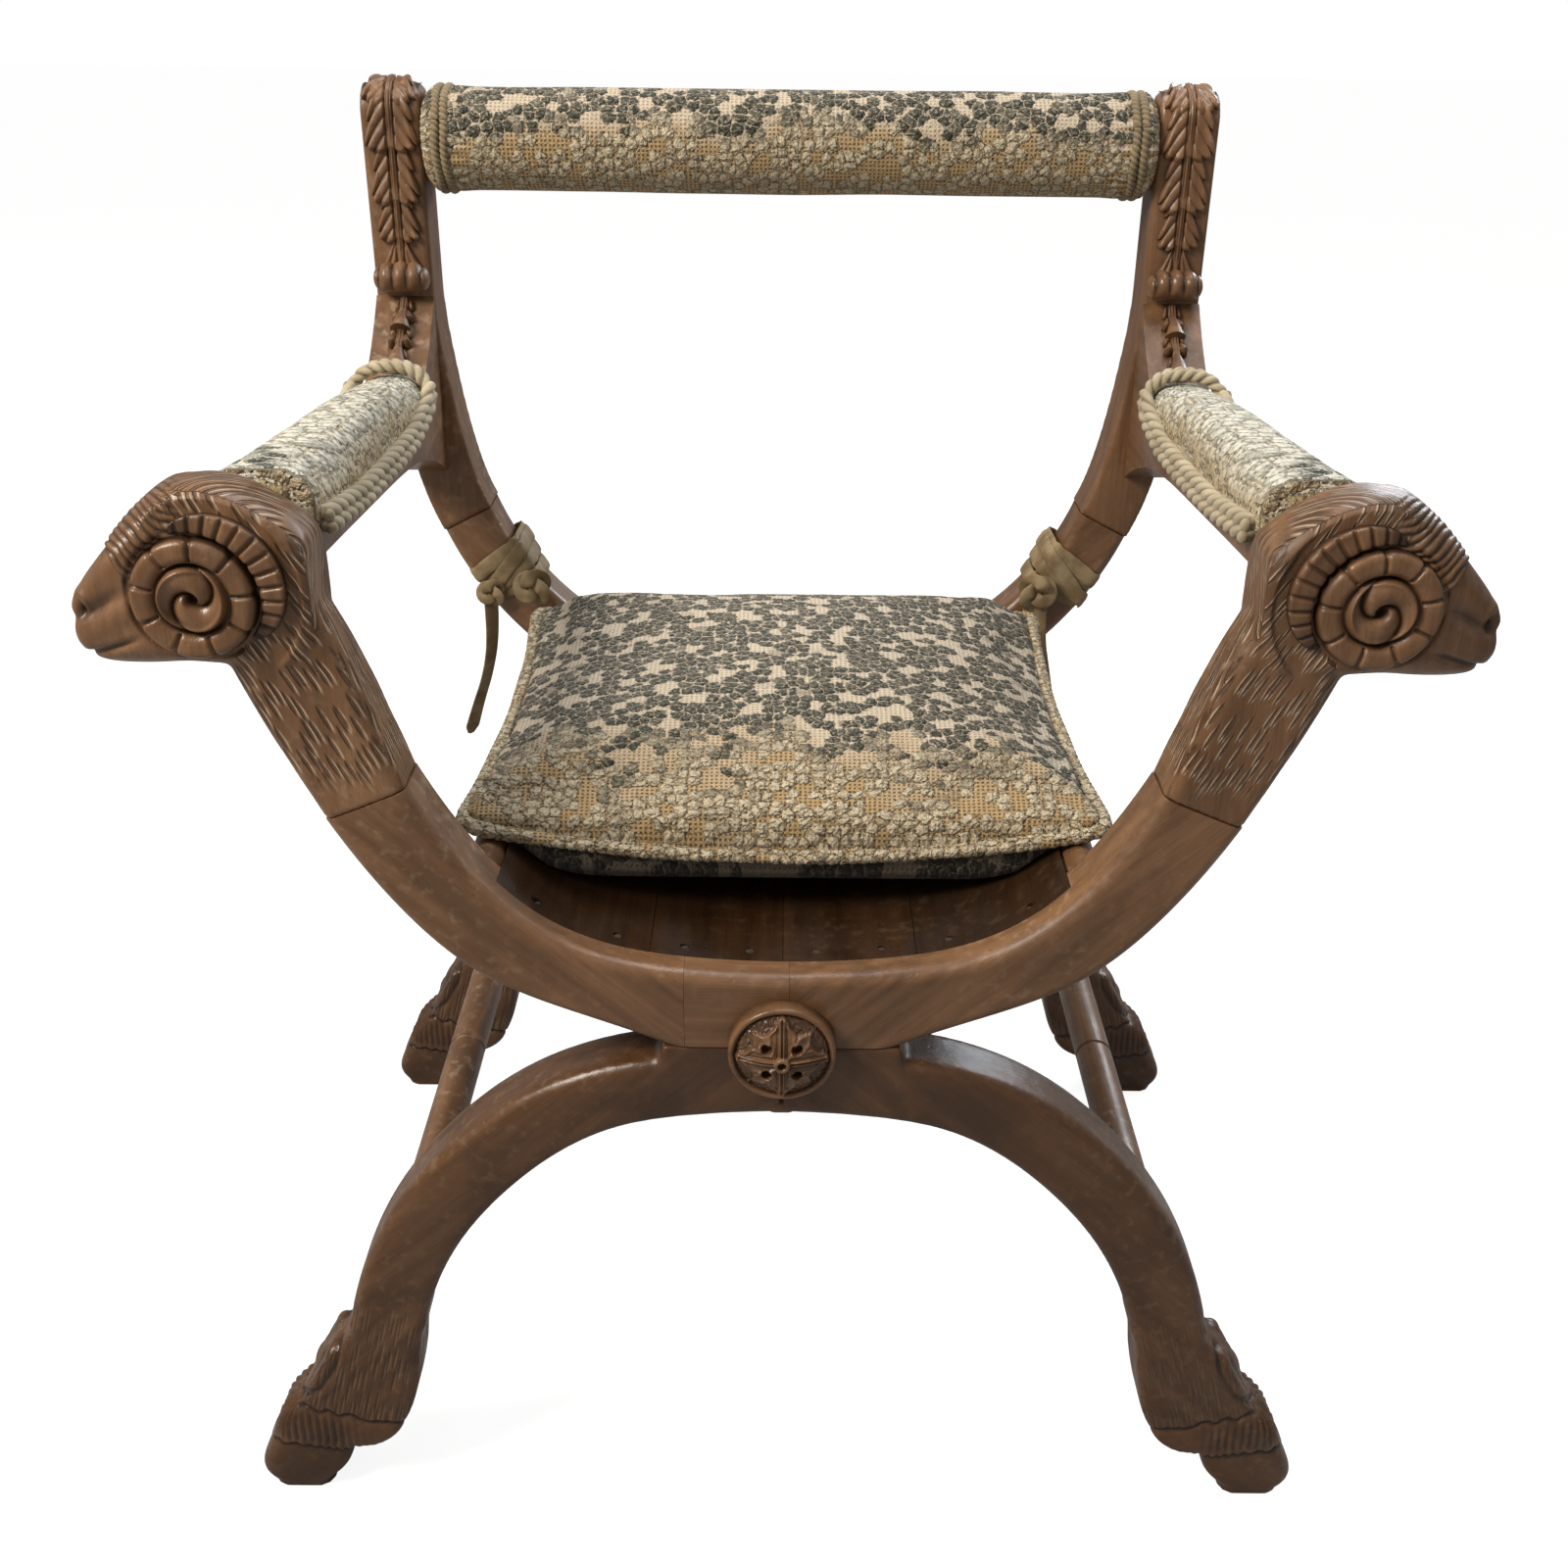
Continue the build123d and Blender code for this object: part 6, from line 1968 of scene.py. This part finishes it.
@dataclass
class SeatCushion:
    """Loose cushion with a covered welt round its seam.

    The sizes are in millimetres: half the width, front and back, how far the sides draw in, the seam's
    height in front and at the back, how far it sags there and at the sides, the welt's radius and the
    even mesh.
    """

    half: float = 196.0
    front: float = -181.65
    back: float = 176.35
    waist: float = 10.0
    heights: tuple[float, float] = (487.0, 490.0)
    sags: tuple[float, float, float] = (22.0, 14.0, 2.0)
    welt: float = 4.5
    voxel: float = 6.0

    def seam(self) -> Array:
        """Closed line of the welt, in millimetres."""
        x, y0, y1 = self.half, self.front, self.back
        z0, z1 = self.heights
        middle_y, side_z = (y0 + y1) / 2, (z0 + z1) / 2 - self.sags[2]
        ends = np.array([(x, y0, z0), (x, y1, z1), (-x, y1, z1), (-x, y0, z0)])
        middles = np.array([
            (x - self.waist, middle_y, side_z), (0.0, y1 - self.waist / 2, z1 - self.sags[1]),
            (self.waist - x, middle_y, side_z), (0.0, y0 + self.waist / 2, z0 - self.sags[0]),
        ])
        # one bow through each side's three places, then the corners are eased
        share = np.linspace(0.0, 1.0, 60, endpoint=False)[:, None]
        bows = []
        for start, middle, end in zip(ends, middles, np.roll(ends, -1, axis=0)):
            bow = (1 - share) * (1 - 2 * share) * start + 4 * share * (1 - share) * middle
            bows.append(bow + share * (2 * share - 1) * end)
        line = np.vstack(bows)
        for _ in range(6):
            line = (np.roll(line, 1, axis=0) + line * 2.0 + np.roll(line, -1, axis=0)) / 4.0
        return line

    def pillow(self, node: Piece) -> Piece:
        """Cushion swollen between its seams.

        Args:
            node: the frame's cushion.

        Returns:
            The cushion, with its cloth laid out.
        """
        piece = copy_of_node(node, "velvet_cushion")
        evened(piece, self.voxel)

        def hold(points: Array) -> Array:
            """Free over the seam, held where it lies on the seat."""
            edge = np.interp(points[:, 1], [self.front, self.back], self.heights)
            return smooth(-6.0, 16.0, points[:, 2] - edge)

        stuff(piece, 3.5, 7.0, hold)
        points, out = corners(piece), normals(piece)
        x, y, z = points.T
        high = z - self.heights[0]
        over = smooth(2.0, 14.0, high)
        move = 1.2 * over * grain_noise(points / 62.0, 21) + 0.7 * over * grain_noise(points / 27.0, 22)
        # creases that run out of each corner
        for cx, cy in product((self.half, -self.half), (self.front, self.back)):
            away = np.hypot(x - cx, y - cy)
            creases = np.sin(np.arctan2(y - cy, x - cx) * 9.0 + 2.0 * np.sin(away / 25.0 + cx))
            creases *= smooth(12.0, 34.0, away) * smooth(120.0, 50.0, away)
            move += 1.5 * creases * smooth(-4.0, 8.0, high)
        near = smooth(30.0, 4.0, np.minimum(np.abs(y - self.front), np.abs(y - self.back)))
        move += 0.8 * over * near * np.sin(x * 2.0 * math.pi / 23.0 + 2.0 * grain_noise(points / 40.0, 23))
        move_corners(piece, points + out * move[:, None])
        # painted shading of the pile: pale at the front and dark on top, and a painted shade below the front
        # welt
        clouds = grain_noise(rows(x / 34.0, y / 60.0, 0.0 * x), 25)
        top = 0.04 + 0.92 * smooth(-172.0, -100.0, y + 38.0 * clouds)
        sag = self.sags[0] * smooth(-60.0, -175.0, y) + self.sags[1] * smooth(60.0, 170.0, y)
        seam = self.heights[0] - sag * (1.0 - (x / self.half) ** 2)
        under = smooth(0.45, 0.0, out[:, 2]) * smooth(3.0, -3.0, z - seam)
        store_cloth(piece, rows(x, y + 0.8 * high), np.maximum(top, 0.95 * under))
        store(piece, "soil", under)
        return piece

    def piping(self) -> Piece:
        """Welt covered in the same velvet, puckered by its stitches."""
        line = Route(self.seam(), closed=True)

        def shape(u: Array, v: Array) -> Array:
            """Round section with small puckers."""
            along, turn = v * line.reach, 2.0 * math.pi * u
            size = self.welt + 0.3 * np.sin(along / 17.0)
            size += 0.35 * np.sin(along * 2.0 * math.pi / 6.5 + 1.5 * np.sin(along / 31.0))
            middle, ahead, up = line.at(along), line.ahead(along, 2.0), np.array([0.0, 0.0, 1.0])
            return beside(middle, ahead, up, size * np.cos(turn), size * np.sin(turn))

        piece = wrapped("welt_cover", 20, 1000, shape)
        points = corners(piece)
        cloth = rows(points[:, 0], points[:, 1] + points[:, 2])
        store_cloth(piece, cloth, np.full(len(points), 0.16))
        store(piece, "full", np.ones(len(points)))
        return piece

    def build(self, node: Piece) -> None:
        """Makes the cushion and its welt."""
        velvet = CutVelvet().material()
        cushion = self.pillow(node)
        dressed(cushion, velvet, ["seat_cushion"], "cushion")
        dressed(self.piping(), velvet, ["cushion_piping"], "cushion")


# ---------------------------------------------------------------- frame
@dataclass
class PlainWood:
    """Frame nodes whose own shape is right, each with its grain, and the small blocks between them."""

    grains: dict[str, Grain] = field(
        default_factory=lambda: {
            "front_yoke_left": Grain.RISING_LEFT, "front_yoke_centre": Grain.LEVEL,
            "front_yoke_right": Grain.RISING_RIGHT, "rear_yoke_left": Grain.RISING_LEFT,
            "rear_yoke_right": Grain.RISING_RIGHT, "front_dowels": Grain.LEVEL, "rear_dowels": Grain.LEVEL,
            "arm_dowels": Grain.DEEP, "arm_rail_left": Grain.DEEP, "arm_rail_right": Grain.DEEP,
            "crest_rail": Grain.LEVEL, "stretcher_left": Grain.DEEP, "stretcher_right": Grain.DEEP,
            "seat_side_rail_left": Grain.DEEP, "seat_side_rail_right": Grain.DEEP,
        }
    )
    board_shades: Sequence[float] = (0.19, 0.16, 0.18, 0.15)

    def build(self, nodes: dict[str, Piece]) -> None:
        """Gives each node its material, and adds the small blocks.

        Args:
            nodes: the frame's nodes by name.
        """
        for name, grain in self.grains.items():
            self.paint(nodes[name], AgedWood(grain).material(), "wood")
        for number, shade in enumerate(self.board_shades, start=1):
            self.paint(nodes[f"seat_board_{number}"], AgedWood(Grain.DEEP, shade=shade).material(), "wood")
        self.paint(nodes["seat_nails"], OldIron().material(), "steel")
        self.tongue()
        for name, front in (("front_crown_block", FRONT_Y), ("rear_crown_block", REAR_Y)):
            self.crown_block(name, front)

    def crown_block(self, name: str, front: float) -> None:
        """Small block let in under the crown, where the two arches meet."""
        piece = self.block(name, (-9.5, front + 0.3, 323.2), (9.5, front + 41.7, 334.0))
        finished(piece, "BEVEL", width=0.006, segments=5)
        dressed(piece, AgedWood(Grain.LEVEL, shade=LOW_SHADE).material())

    def block(self, name: str, low: Sequence[float], high: Sequence[float]) -> Piece:
        """Makes a plain box.

        Args:
            name: the piece's name.
            low: its corner with the least coordinates, in millimetres.
            high: the opposite corner.

        Returns:
            The box.
        """
        deselect()
        bpy.ops.mesh.primitive_cube_add(size=1.0)
        piece = bpy.context.active_object
        piece.name = piece.data.name = name
        start, end = np.array(low), np.array(high)
        move_corners(piece, corners(piece) / 1000.0 * (end - start) + (start + end) / 2)
        return piece

    def tongue(self) -> None:
        """Thin tongue that closes the middle joint of the boards."""
        low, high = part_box("seat_board_2")
        other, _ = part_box("seat_board_3")
        start = (high.x * 1000.0 + 0.05, low.y * 1000.0 + 1.0, low.z * 1000.0 + 3.0)
        end = (other.x * 1000.0 - 0.05, high.y * 1000.0 - 1.0, low.z * 1000.0 + 9.0)
        piece = self.block("board_tongue", start, end)
        dressed(piece, AgedWood(Grain.DEEP, shade=0.12).material())

    def paint(self, node: Piece, material: bpy.types.Material, slot: str) -> None:
        """Replaces the material of a node that stays.

        Args:
            node: the frame's node.
            material: its finish.
            slot: the record's material slot; not used.
        """
        node.data.materials.clear()
        node.data.materials.append(material)
        LOG.info("%s: %s", node.name, material.name)


def main() -> None:
    """Builds the whole scene."""
    logging.basicConfig(level=logging.INFO, format="%(name)s %(message)s")
    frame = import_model()
    nodes = frame["nodes"]
    deselect()
    Stage().build()

    tape = WornTape().material()
    for tail in TAILS:
        tail.build(tape)
    for side in (1, -1):
        Tie(side).build(tape)

    PlainWood().build(nodes)
    Leg().build(nodes["front_leg_right"])
    Ram().build(nodes["ram_post_right"])
    Stile().build(nodes["stile_right"])
    Husks().build()
    Rosette().build()
    thread = Thread().material()
    ArmPads().build(nodes["arm_pad_right"], thread)
    CrestRoll().build()
    SeatCushion().build(nodes["seat_cushion"])


if __name__ == "__main__":
    main()
